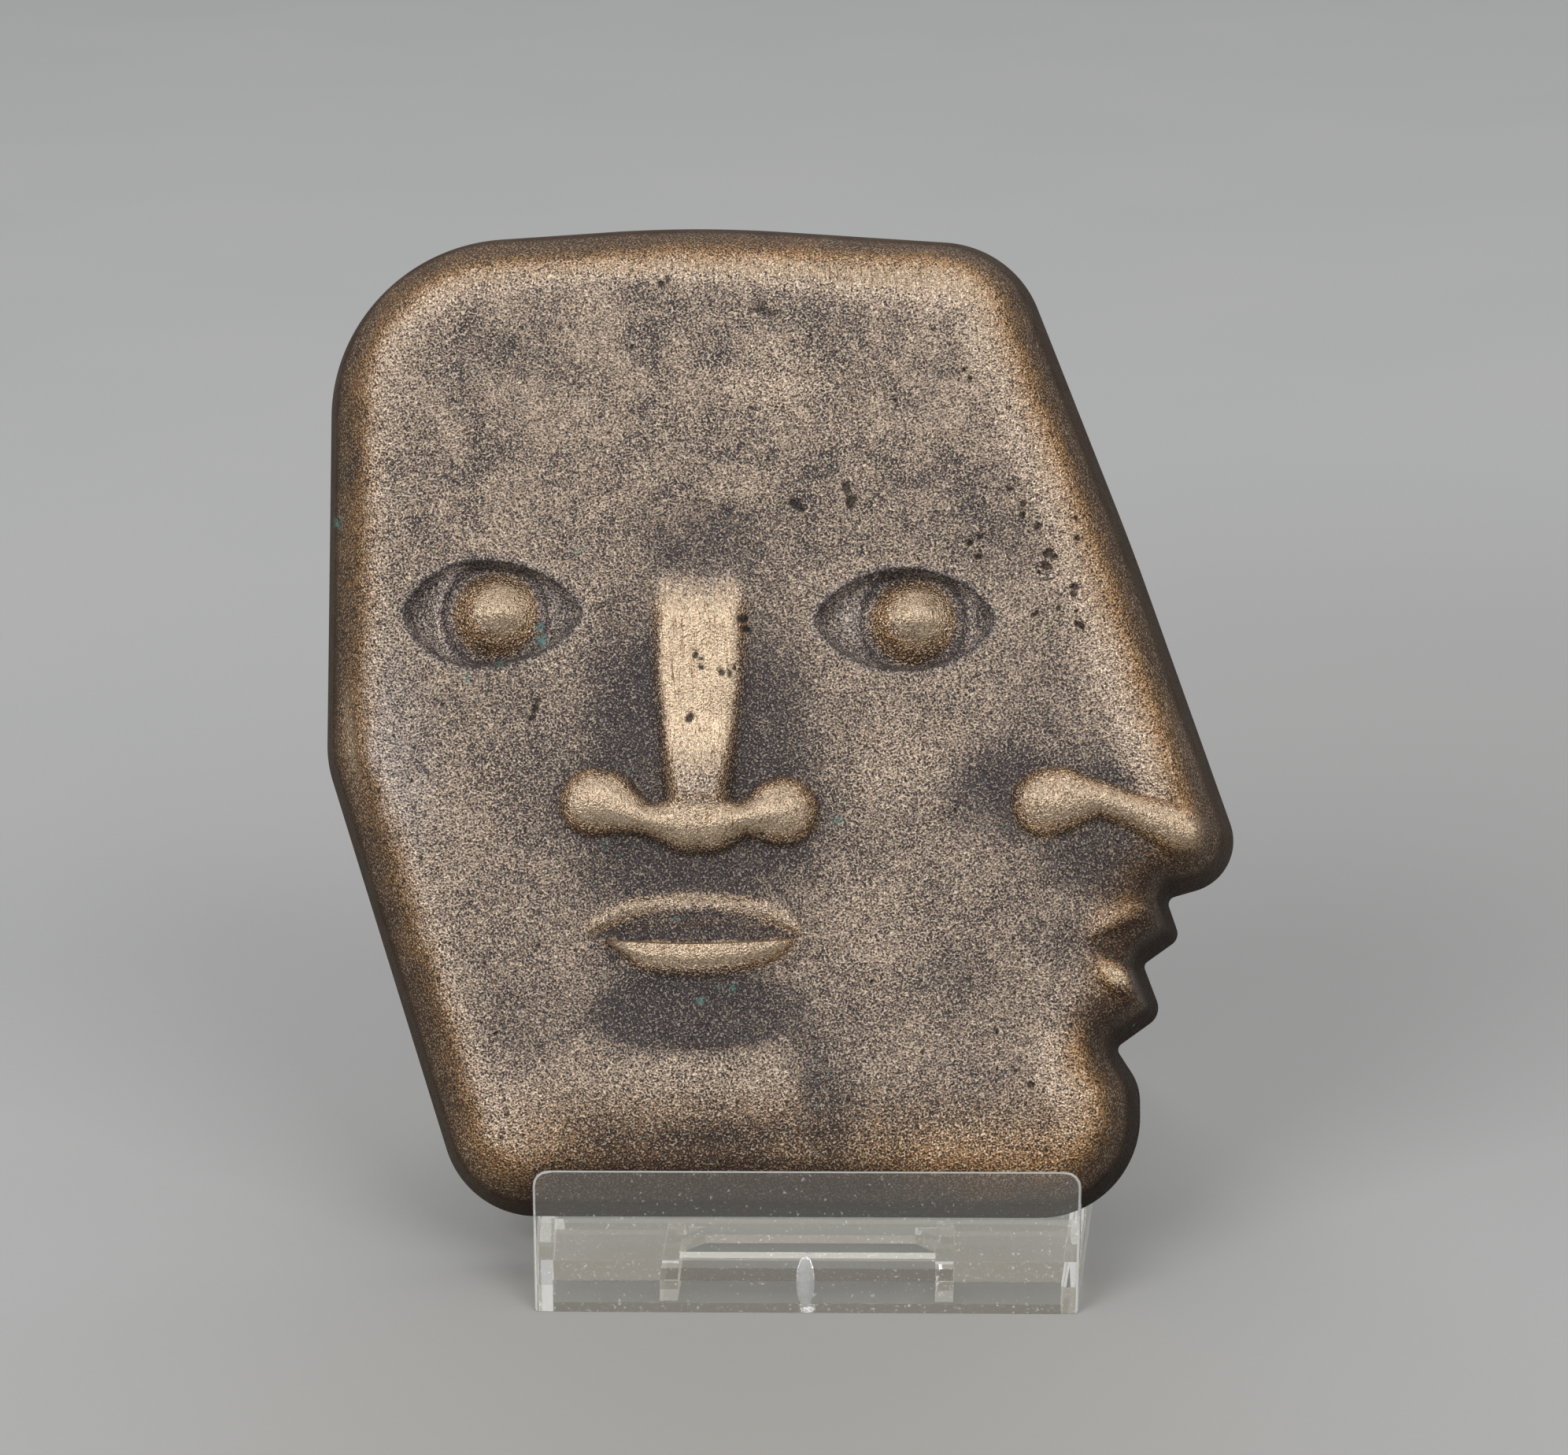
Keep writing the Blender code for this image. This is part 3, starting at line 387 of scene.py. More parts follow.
def carvingLines(step):
    # Lines that the mesh follows: the eyes' edges, the bar's sides and the lips
    lines = []
    turns = np.linspace(0.0, 2.0 * math.pi, 721)
    for eye in eyes["pair"]:
        reach = np.where(np.cos(turns) < 0.0, eye["long"] + eye["skew"], eye["long"] - eye["skew"])
        for inset in (0.0, 0.45, 0.9):
            x = eye["x"] + eye["skew"] + np.cos(turns) * (reach - 1.4 * inset)
            bulge = np.sign(np.sin(turns)) * np.abs(np.sin(turns)) ** (2.0 * eyes["point"])
            y = eye["y"] + bulge * (eye["tall"] - inset)
            lines.append((evenAlong(x, y, step)[:-1], True))
    bar = np.linspace(nose["bottom"] + 3.5, nose["top"] - 0.5, 60)
    for side in (-1.0, 1.0):
        for out in (-0.35, 0.4, nose["barEdge"]):
            lines.append((evenAlong(nose["x"] + side * (barHalf(bar) + out), bar, step), False))
    across = mouth["x"] + mouth["half"] * np.sin(np.linspace(-1.45, 1.45, 120))
    upper, line, lower, _ = mouthEdges(across)
    within = np.abs(across - mouth["x"]) < 0.8 * mouth["half"]
    lines.append((evenAlong(across, upper - 0.8, step), False))
    for edge, moves in ((line, (0.35, -0.35)), (lower, (0.35, -0.15))):
        for move in moves:
            lines.append((evenAlong(across[within], edge[within] + move, step), False))
    return lines


def ringAround(x, y, radius, step):
    count = max(6, math.ceil(2.0 * math.pi * radius / step))
    turns = np.linspace(0.0, 2.0 * math.pi, count, endpoint=False)
    return np.stack([x + radius * np.cos(turns), y + radius * np.sin(turns)], axis=1)


def honeycomb(step, outline, clear):
    # Staggered rows of points over the head, kept clear of its edge
    low, high = outline.min(axis=0), outline.max(axis=0)
    rows = np.arange(low[1], high[1], step * math.sqrt(0.75))
    grid = []
    for index, y in enumerate(rows):
        x = np.arange(low[0] + (index % 2) * step / 2, high[0], step)
        grid.append(np.stack([x, np.full_like(x, y)], axis=1))
    grid = np.concatenate(grid)
    grid = grid[isInside(grid[:, 0], grid[:, 1], outline)]
    return grid[edgeDistance(grid[:, 0], grid[:, 1], outline) > clear]


def spaced(points, groups):
    # Adds each group's points, leaving out those that crowd one already there
    cell = 0.7
    found = [tuple(point) for point in points]
    cells = {}
    for place in found:
        cells.setdefault((int(place[0] // cell), int(place[1] // cell)), []).append(place)
    for group, gap in groups:
        for x, y in group:
            column, row = int(x // cell), int(y // cell)
            crowded = any(
                (x - px) ** 2 + (y - py) ** 2 < gap * gap
                for near in ((column + i, row + j) for i in (-1, 0, 1) for j in (-1, 0, 1))
                for px, py in cells.get(near, ())
            )
            if not crowded:
                found.append((x, y))
                cells.setdefault((column, row), []).append((x, y))
    return found


def fineAreas(points):
    x, y = points[:, 0], points[:, 1]
    fine = barShape(x, y) > 0.02
    for strokes in (nose["tip"], nose["side"]):
        wider = [(x0, y0, r0 * 1.25, x1, y1, r1 * 1.25) for x0, y0, r0, x1, y1, r1 in strokes]
        fine |= strokeDome(x, y, wider) > 0.0
    for eye in eyes["pair"]:
        fine |= almond(x, y, eye) < 1.15
    # The two mouths
    for centreX, centreY, wide, tall in ((mouth["x"], 30.6, 13.6, 8.0), (36.0, 29.5, 7.5, 9.0)):
        fine |= ((x - centreX) / wide) ** 2 + ((y - centreY) / tall) ** 2 < 1.0
    return fine


def plaquePoints(outline):
    points = outline
    links = [(index, (index + 1) % len(outline)) for index in range(len(outline))]
    for line, closed in carvingLines(plaque["lineStep"]):
        first = len(points)
        points = np.concatenate([points, line])
        links += [(index, index + 1) for index in range(first, len(points) - 1)]
        if closed:
            links.append((len(points) - 1, first))
    run = np.roll(outline, -1, axis=0) - np.roll(outline, 1, axis=0)
    inward = np.stack([-run[:, 1], run[:, 0]], axis=1) / np.hypot(run[:, 0], run[:, 1])[:, None]
    groups = []
    depths = [0.45 * plaque["wallDraft"] + 0.0 * outline[:, 0]]
    for share in plaque["rimSteps"]:
        depths.append(plaque["wallDraft"] + (rimWidth(*outline.T) - plaque["wallDraft"]) * share)
    for depth in depths:
        ring = outline + inward * depth[:, None]
        reached = edgeDistance(ring[:, 0], ring[:, 1], outline)
        keep = (reached > depth - 0.03) & isInside(ring[:, 0], ring[:, 1], outline)
        groups.append((ring[keep], 0.3))
    for x, y, radius, _ in pits:
        for share in (0.3, 0.6, 0.85, 1.15):
            groups.append((ringAround(x, y, radius * share, 0.22), 0.13))
    for eye in eyes["pair"]:
        for radius in (6.15, 5.95, 5.7, 5.2, 4.6):
            ring = ringAround(eye["x"] + eye["disc"], eye["y"], radius, 0.36)
            groups.append((ring[almond(ring[:, 0], ring[:, 1], eye) < 0.9], 0.17))
    fine = honeycomb(plaque["fineStep"], outline, 0.9)
    groups.append((fine[fineAreas(fine)], plaque["fineStep"] * 0.68))
    groups.append((honeycomb(plaque["plainStep"], outline, 0.35), plaque["plainStep"] * 0.66))
    return spaced(points, groups), links


def blurred(grid, weight, reach):
    # A soft average over the head alone, row by row and then column by column
    offsets = np.arange(-int(3 * reach), int(3 * reach) + 1)
    kernel = np.exp(-0.5 * (offsets / reach) ** 2)
    both = []
    for field in (grid * weight, weight):
        field = np.apply_along_axis(lambda row: np.convolve(row, kernel, "same"), 0, field)
        both.append(np.apply_along_axis(lambda row: np.convolve(row, kernel, "same"), 1, field))
    return both[0] / np.maximum(both[1], 1e-6)


def readGrid(grid, low, step, x, y):
    column, row = (x - low[0]) / step, (y - low[1]) / step
    c0 = np.clip(column.astype(int), 0, grid.shape[1] - 2)
    r0 = np.clip(row.astype(int), 0, grid.shape[0] - 2)
    u, v = column - c0, row - r0
    top = grid[r0 + 1, c0] * (1 - u) + grid[r0 + 1, c0 + 1] * u
    return (grid[r0, c0] * (1 - u) + grid[r0, c0 + 1] * u) * (1 - v) + top * v


patinaAndPaintedLight = [  # patina and painted shade left dark, rubbed metal and painted highlights left light: x, y, half width, half height, turn, amount
    (-21, 57, 7.5, 13.5, 4, -0.33),
    (-3.6, 57, 6.5, 13.5, -4, -0.3),
    (-13, 76, 11, 7.5, 0, -0.26),
    (-13, 39.5, 17, 6, 0, -0.37),
    (-13, 22.6, 16, 6.2, 0, -0.85),
    (-10, 5, 30, 7, 0, -0.6),
    (37, 31.4, 5, 1.7, 25, -0.6),
    (34.4, 26.9, 2, 1.1, -37, 0.7),
    (-52.4, 54, 1.6, 11, 7, 0.5),
    (-13, 33.8, 12, 1.8, 0, -0.25),
    (37, 31.2, 6, 3, 20, -0.5),
    (38, 28.6, 7, 1.6, -14, -0.5),
    (34, 21.5, 5, 3, -35, -0.4),
    (-12, 92, 22, 13, 0, 0.08),
    (-37, 6.5, 7, 6, -30, 0.8),
    (39, 55, 5, 7, 20, 0.4),
    (-35, 12, 8, 9, -30, 0.16),
    (21, 48, 8, 8, 0, -0.38),
    (34, 38.5, 10, 5, -10, -0.5),
    (35, 48, 5, 3, -20, -0.12),
    (40, 33, 8, 12, 0, -0.25),
    (30.5, 31, 8, 5, 0, -0.25),
    (33, 22, 7, 5, 0, -0.30),
    (2.5, 12, 5.5, 12, 15, -0.28),
    (-33, 20, 8, 8, 0, -0.16),
    (20, 78, 11, 9, 0, -0.12),
    (-31, 97, 12, 9, 0, -0.12),
    (-37, 59.5, 9, 4, 0, -0.12),
    (26, 60, 7, 9, 30, -0.10),
    (-20, 108, 22, 5, 0, -0.10),
    (18, 26, 6, 6, 0, -0.12),
    (-40, 46, 9, 15, 0, 0.10),
    (8, 33, 9, 9, 0, 0.16),
    (-14, 15, 13, 3.6, 0, 0.14),
    (-25, 80.2, 4.5, 1.9, 16, 0.40),
    (-4, 95, 8, 7, 0, 0.4),
    (8, 88, 8, 5, 0, 0.12),
    (10, 51, 11, 7, 20, 0.32),
    (-30, 13, 9, 5, 50, 0.14),
]

greenSpots = [  # verdigris left in the hollows: x, y, radius
    (-30.6, 65.4, 0.7), (-30.9, 66.9, 0.5), (-35.4, 62.6, 0.5), (-38.9, 60.9, 0.5),
    (3.4, 44.4, 0.45), (-23.0, 41.8, 0.45), (-55.0, 79.8, 0.7), (-26.4, 75.5, 0.4),
    (-15.0, 33.2, 0.4), (-12.0, 24.0, 0.45), (-8.5, 25.3, 0.4), (-20.2, 50.0, 0.45),
]

wearAndPaintedLight = {
    "gridStep": 0.6,
    "narrow": 1.8,  # mm over which small crests and hollows are judged
    "broad": 4.5,
    "crestLeft": 0.2,
    "crestRight": 0.5,
    "crestTop": 0.4,
    "crestDepth": 6.8,  # how far in from the edge the rubbed crest with its painted highlight lies
    "plain": 0.47,
    "barShine": 0.86,  # how near a polished or painted-highlight place comes to the bar's bare metal
    "domeShine": (0.9, 0.5, 4.3),  # right and up of a dome's middle, and its radius
    "paintedLipHighlight": (34.4, 26.9, 2.4, 1.0),  # a painted highlight on the profile's lower lip: x, y, half length, half height
    # A painted highlight on the left crest, and a painted cool sheen about it
    "paintedLeftHighlight": (-52.6, 54.0, 1.5, 10.0, 7.0, 1.0),
    "paintedLeftSheen": (-49.0, 52.0, 9.0, 19.0, 7.0, 1.0),
}


def strongest(*masks):
    return np.maximum.reduce(masks)


def reliefAround(x, y, outline):
    # How far each place stands above what lies round it, judged narrowly and broadly
    low, high = outline.min(axis=0), outline.max(axis=0)
    step = wearAndPaintedLight["gridStep"]
    gridX, gridY = np.meshgrid(np.arange(low[0], high[0], step), np.arange(low[1], high[1], step))
    flatX, flatY = gridX.ravel(), gridY.ravel()
    within = isInside(flatX, flatY, outline).reshape(gridX.shape).astype(float)
    grid = plainHeight(flatX, flatY, edgeDistance(flatX, flatY, outline)).reshape(gridX.shape)
    around = [blurred(grid, within, wearAndPaintedLight[reach] / step) for reach in ("narrow", "broad")]
    return [readGrid(grid, low, step, x, y) - readGrid(mean, low, step, x, y) for mean in around]


def crestMask(x, y, edge):
    # The crest just inside the rim, rubbed bare and partly a painted highlight that is stronger on the
    # right, but not where the profile is cut in
    side = smoothStep(-25.0, 25.0, x)
    crest = wearAndPaintedLight["crestLeft"] + (wearAndPaintedLight["crestRight"] - wearAndPaintedLight["crestLeft"]) * side
    crest = crest + wearAndPaintedLight["crestTop"] * smoothStep(98.0, 108.0, y)
    across = (edge - wearAndPaintedLight["crestDepth"]) / (1.3 + 1.2 * side)
    crest = crest * np.exp(-across ** 2) * smoothStep(2.0, 14.0, y)
    atProfile = smoothStep(21.0, 27.0, x) * smoothStep(45.5, 42.5, y) * smoothStep(18.0, 22.0, y)
    return crest * (1.0 - 0.95 * atProfile)


def paintedLipHighlight(x, y):
    # A painted highlight on the profile's lower lip
    centreX, centreY, halfLength, halfHeight = wearAndPaintedLight["paintedLipHighlight"]
    along = (x - centreX) * 0.8 - (y - centreY) * 0.6
    across = (x - centreX) * 0.6 + (y - centreY) * 0.8
    return np.clip(1.4 - np.hypot(along / halfLength, across / halfHeight), 0.0, 1.0)


def polishAndHighlightMask(x, y, crest):
    # The nose tips, the profile's lips, the mouth, the domes and the crest as polished metal, with painted
    # highlights on the left crest and the profile's lower lip
    ridge, _, roll = lipShape(x, y)
    right, up, radius = wearAndPaintedLight["domeShine"]
    domes = [1.3 * (1.0 - (discDistance(x, y, eye, right, up) / radius) ** 2) for eye in eyes["pair"]]
    return np.clip(strongest(
        crest,
        smoothStep(0.3, 0.95, strokeDome(x, y, nose["tip"])),
        0.9 * smoothStep(0.3, 1.0, strokeDome(x, y, nose["side"])),
        0.35 * smoothStep(0.5, 1.0, foldShape(x, y)),
        0.95 * paintedLipHighlight(x, y),
        smoothStep(0.4, 0.95, roll),
        0.65 * smoothStep(0.4, 0.95, ridge),
        0.8 * softForm(x, y, wearAndPaintedLight["paintedLeftHighlight"]),
        *domes,
    ), 0.0, 1.0)


def warmMask(x, y, polishAndHighlight):
    # Golden brown towards the bottom, round the features and where the profile is cut in
    _, opening, roll = lipShape(x, y)
    found = [0.95 * smoothStep(17.0, 5.0, y) * smoothStep(-38.0, -27.0, x)]
    for strokes in (nose["tip"], nose["side"]):
        found.append(0.5 * smoothStep(0.02, 0.3, strokeDome(x, y, strokes)) * (1.0 - 0.8 * polishAndHighlight))
    found.append(0.5 * smoothStep(0.15, 0.5, roll) * smoothStep(0.7, 0.3, roll))
    found.append(0.45 * smoothStep(0.1, 0.4, opening) * smoothStep(0.75, 0.45, opening))
    found.append(0.8 * smoothStep(28.0, 38.0, x) * smoothStep(44.0, 36.0, y) * (1.0 - paintedLipHighlight(x, y)))
    for eye in eyes["pair"]:
        away = discDistance(x, y, eye)
        found.append(0.8 * smoothStep(5.6, 4.4, away) * smoothStep(1.2, 3.4, away))
    return strongest(*found)


def wearAndPaintedLightMasks(x, y, edge, outline):
    # Where handling has bared the metal and where the dark patina has stayed, with painted shade and
    # painted highlights laid in
    small, large = reliefAround(x, y, outline)
    stands = 0.17 * np.clip(small / 0.45, -1.0, 0.35) + 0.2 * np.clip(large / 0.8, -1.2, 0.5)
    crest = crestMask(x, y, edge)
    # The crest adds rubbed metal and a painted highlight, and the listed spots add patina, painted shade
    # and painted highlights
    wornAndPaintedLight = wearAndPaintedLight["plain"] + smoothStep(3.5, 6.5, edge) * stands + crest
    wornAndPaintedLight = wornAndPaintedLight + sum(softForm(x, y, patch) for patch in patinaAndPaintedLight) - 0.1 * smoothStep(15.0, 4.0, y)
    bar = smoothStep(0.55, 0.98, barSides(x, y)) * smoothStep(46.0, 54.0, y) * smoothStep(75.5, 66.5, y)
    polishAndHighlight = polishAndHighlightMask(x, y, crest)
    opening = lipShape(x, y)[1]
    wornAndPaintedLight = wornAndPaintedLight + 0.6 * np.maximum(polishAndHighlight, bar) - 0.9 * smoothStep(0.35, 0.7, opening)
    # A painted cool sheen on the left, and cool patina in the sockets
    sockets, coolPatinaAndSheen = [], [softForm(x, y, wearAndPaintedLight["paintedLeftSheen"])]
    for eye in eyes["pair"]:
        # Dark lines round the almond and the disc, and cooler metal between them
        away, ratio = discDistance(x, y, eye), almond(x, y, eye)
        rimLine = np.exp(-((ratio - 1.0) / 0.06) ** 2)
        discLine = np.exp(-((away - eyes["discRadius"]) / 0.35) ** 2) * smoothStep(1.0, 0.9, ratio)
        wornAndPaintedLight = wornAndPaintedLight - 0.6 * rimLine - 0.45 * discLine
        sockets.append((1.0 - smoothStep(0.7, 1.0, ratio)) * smoothStep(2.5, 4.5, away))
        coolPatinaAndSheen.append(smoothStep(1.25, 1.0, ratio) * smoothStep(4.2, 5.2, away))
    wornAndPaintedLight = wornAndPaintedLight + 0.3 * strongest(*sockets)
    green = []
    for spotX, spotY, radius in greenSpots:
        green.append(smoothStep(1.3, 0.5, np.hypot(x - spotX, y - spotY) / radius))
    # The bar's bare metal is laid also over the polished places and painted highlights
    return {
        "wornAndPaintedLight": np.clip(wornAndPaintedLight, 0.0, 1.0),
        "bar": np.maximum(bar, wearAndPaintedLight["barShine"] * polishAndHighlight),
        "warm": warmMask(x, y, polishAndHighlight),
        "coolPatinaAndSheen": strongest(*coolPatinaAndSheen),
        "green": strongest(*green),
    }


def makePlaque():
    outline = roundedOutline(plaque["corners"], plaque["outlineStep"])
    places, links = plaquePoints(outline)
    places = [Vector(place) for place in places]
    flat, _, triangles, *_ = geometry.delaunay_2d_cdt(places, links, [], 1, 1e-6)
    x, y = np.array([point[:] for point in flat]).T
    edge = edgeDistance(x, y, outline)
    plain = plainHeight(x, y, edge)
    face = smoothStep(2.5, 7.0, edge)
    bar = barShape(x, y)
    handMade = 0.16 * ripples(x, y, 9.0, 1.7) + 0.09 * ripples(x, y, 4.0, 5.2) * (1.0 - 0.8 * bar)
    brow = smoothStep(74.0, 86.0, y) * smoothStep(112.0, 100.0, y)
    handMade = handMade + 0.24 * brow * ripples(x, y, 5.0, 9.1)
    depth, dark = pitDepths(x, y)
    rough = 0.035 * ripples(x, y, 1.1, 3.3) * (1.0 - bar)
    height = plain + handMade * (0.25 + 0.75 * face) * smoothStep(0.0, 2.0, edge) + rough * face - depth
    mesh = bpy.data.meshes.new("plaque")
    mesh.from_pydata(np.stack([x, y, height], axis=1).tolist(), [], triangles)
    piece = bpy.data.objects.new("bronzeRelief", mesh)
    bpy.context.collection.objects.link(piece)
    upward = np.array([abs(normal.vector.z) for normal in mesh.vertex_normals])
    masks = {
        "pit": dark,
        "rimDepth": np.clip(edge / 10.0, 0.0, 1.0),
        "tilt": np.degrees(np.arccos(np.clip(upward, 0.0, 1.0))) / 90.0,
        "patchy": brow,
    }
    masks.update(wearAndPaintedLightMasks(x, y, edge, outline))
    for name, values in masks.items():
        mesh.attributes.new(name, "FLOAT", "POINT").data.foreach_set("value", values.astype(np.float32))
    closeBack(piece)
    leanBack(piece)
    mesh.shade_smooth()
    mesh.set_sharp_from_angle(angle=math.radians(plaque["sharpAngle"]))
    count = sum(len(face.vertices) - 2 for face in mesh.polygons)
    print("plaque:", len(mesh.vertices), "points,", count, "triangles")
    return piece


def select(piece):
    bpy.ops.object.select_all(action="DESELECT")
    bpy.context.view_layer.objects.active = piece
    piece.select_set(True)


def closeBack(piece):
    # Fills the open edge with the flat back, stepped in a little so that the edge is eased
    select(piece)
    bpy.ops.object.mode_set(mode="EDIT")
    bpy.ops.mesh.select_mode(type="EDGE")
    bpy.ops.mesh.select_all(action="DESELECT")
    bpy.ops.mesh.select_non_manifold()
    bpy.ops.mesh.edge_face_add()
    bpy.ops.mesh.select_all(action="SELECT")
    bpy.ops.mesh.normals_make_consistent(inside=False)
    bpy.ops.mesh.select_mode(type="FACE")
    bpy.ops.object.mode_set(mode="OBJECT")
    for face in piece.data.polygons:
        face.select = len(face.vertices) > 10
    bpy.ops.object.mode_set(mode="EDIT")
    bpy.ops.mesh.inset(thickness=plaque["backEdge"], depth=plaque["backEdge"])
    bpy.ops.object.mode_set(mode="OBJECT")


def leanBack(piece):
    # From the flat millimetre layout to its place on the easel, in metres
    foot = Matrix.Translation(0.001 * Vector(plaque["foot"]))
    turn = Matrix.Rotation(math.radians(90.0 - plaque["lean"]), 4, "X")
    piece.data.transform(foot @ turn @ Matrix.Scale(0.001, 4))
    piece.data.update()


# Shader sums are written as plain expressions on wires
class Wire:
    def __init__(self, tree, socket):
        self.tree = tree
        self.socket = socket

    def sum(self, operation, *values):
        made = self.tree.nodes.new("ShaderNodeMath")
        made.operation = operation
        for place, value in zip(made.inputs, values):
            plug(self.tree, place, value)
        return Wire(self.tree, made.outputs[0])

    def __add__(self, other):
        return self.sum("ADD", self, other)

    def __radd__(self, other):
        return self.sum("ADD", other, self)

    def __sub__(self, other):
        return self.sum("SUBTRACT", self, other)

    def __rsub__(self, other):
        return self.sum("SUBTRACT", other, self)

    def __mul__(self, other):
        return self.sum("MULTIPLY", self, other)

    def __rmul__(self, other):
        return self.sum("MULTIPLY", other, self)

    def ramp(self, low, high):
        made = self.tree.nodes.new("ShaderNodeMapRange")
        made.interpolation_type = "SMOOTHSTEP"
        plug(self.tree, made.inputs["Value"], self)
        made.inputs["From Min"].default_value = min(low, high)
        made.inputs["From Max"].default_value = max(low, high)
        made.inputs["To Min"].default_value = float(low > high)
        made.inputs["To Max"].default_value = float(low < high)
        return Wire(self.tree, made.outputs["Result"])


def plug(tree, place, value):
    if isinstance(value, Wire):
        tree.links.new(value.socket, place)
    else:
        place.default_value = value


class Finish:
    def __init__(self, name):
        self.material = bpy.data.materials.new(name)
        self.material.use_nodes = True
        self.tree = self.material.node_tree
        self.shader = self.tree.nodes["Principled BSDF"]

    def node(self, kind, settings, sockets, out=0):
        made = self.tree.nodes.new("ShaderNode" + kind)
        for key, value in settings.items():
            setattr(made, key, value)
        for key, value in sockets.items():
            plug(self.tree, made.inputs[key], value)
        return Wire(self.tree, made.outputs[out])

    def set(self, **values):
        for key, value in values.items():
            plug(self.tree, self.shader.inputs[key.replace("_", " ")], value)

    def place(self, turn=(0.0, 0.0, 0.0), scale=(1.0, 1.0, 1.0), shift=(0.0, 0.0, 0.0)):
        where = self.node("TexCoord", {}, {}, "Object")
        sockets = {"Vector": where, "Location": shift, "Rotation": turn, "Scale": scale}
        return self.node("Mapping", {}, sockets)

    def noise(self, where, size, detail=2.0, rough=0.5, warp=0.0):
        sockets = {"Vector": where, "Scale": 1.0 / size, "Detail": detail}
        return self.node("TexNoise", {}, {**sockets, "Roughness": rough, "Distortion": warp}, "Fac")

    def bump(self, height, distance, strength=1.0):
        return self.node("Bump", {}, {"Strength": strength, "Distance": distance, "Height": height})

    def mask(self, name):
        return self.node("Attribute", {"attribute_name": name}, {}, "Fac")

    def mix(self, share, first, second):
        return self.node("Mix", {"data_type": "RGBA"}, {0: share, 6: first, 7: second}, 2)


def paint(colour):
    # A colour read off the screen, as the shader's linear values
    levels = [part / 255 for part in colour]
    return (*(part / 12.92 if part < 0.04045 else ((part + 0.055) / 1.055) ** 2.4 for part in levels), 1.0)


bronze = {
    "colours": {
        "pale": (200, 177, 157),
        "coolPaleAndSheen": (190, 180, 178),
        "dark": (73, 66, 68),
        "sparkle": (246, 226, 200),
        # painted shade in the gaps between grains
        "paintedGrainShade": (52, 45, 46),
        "goldPale": (172, 128, 80),
        "goldDark": (66, 47, 32),
        "bar": (207, 185, 158),
        "scratch": (116, 91, 66),
        "side": (82, 70, 58),
        "sideLow": (46, 36, 28),
        "pit": (44, 40, 40),
        "verdigris": (96, 140, 132),
    },
    "patternTurn": (0.5, 0.35, 0.7),  # radians, so that no noise lines up with the plaque
    "grain": 0.00023,  # sizes of the patterns, in metres
    "fine": 0.00021,
    "speck": 0.0007,
    "clump": 0.0009,
    "pitSpacing": 0.0022,
    "mottle": 0.005,
    "blotch": 0.015,
    "stroke": 0.00025,
    "strokeTurn": 4.0,
    "strokeStretch": 0.03,
    "bumpHeight": 0.00024,
}


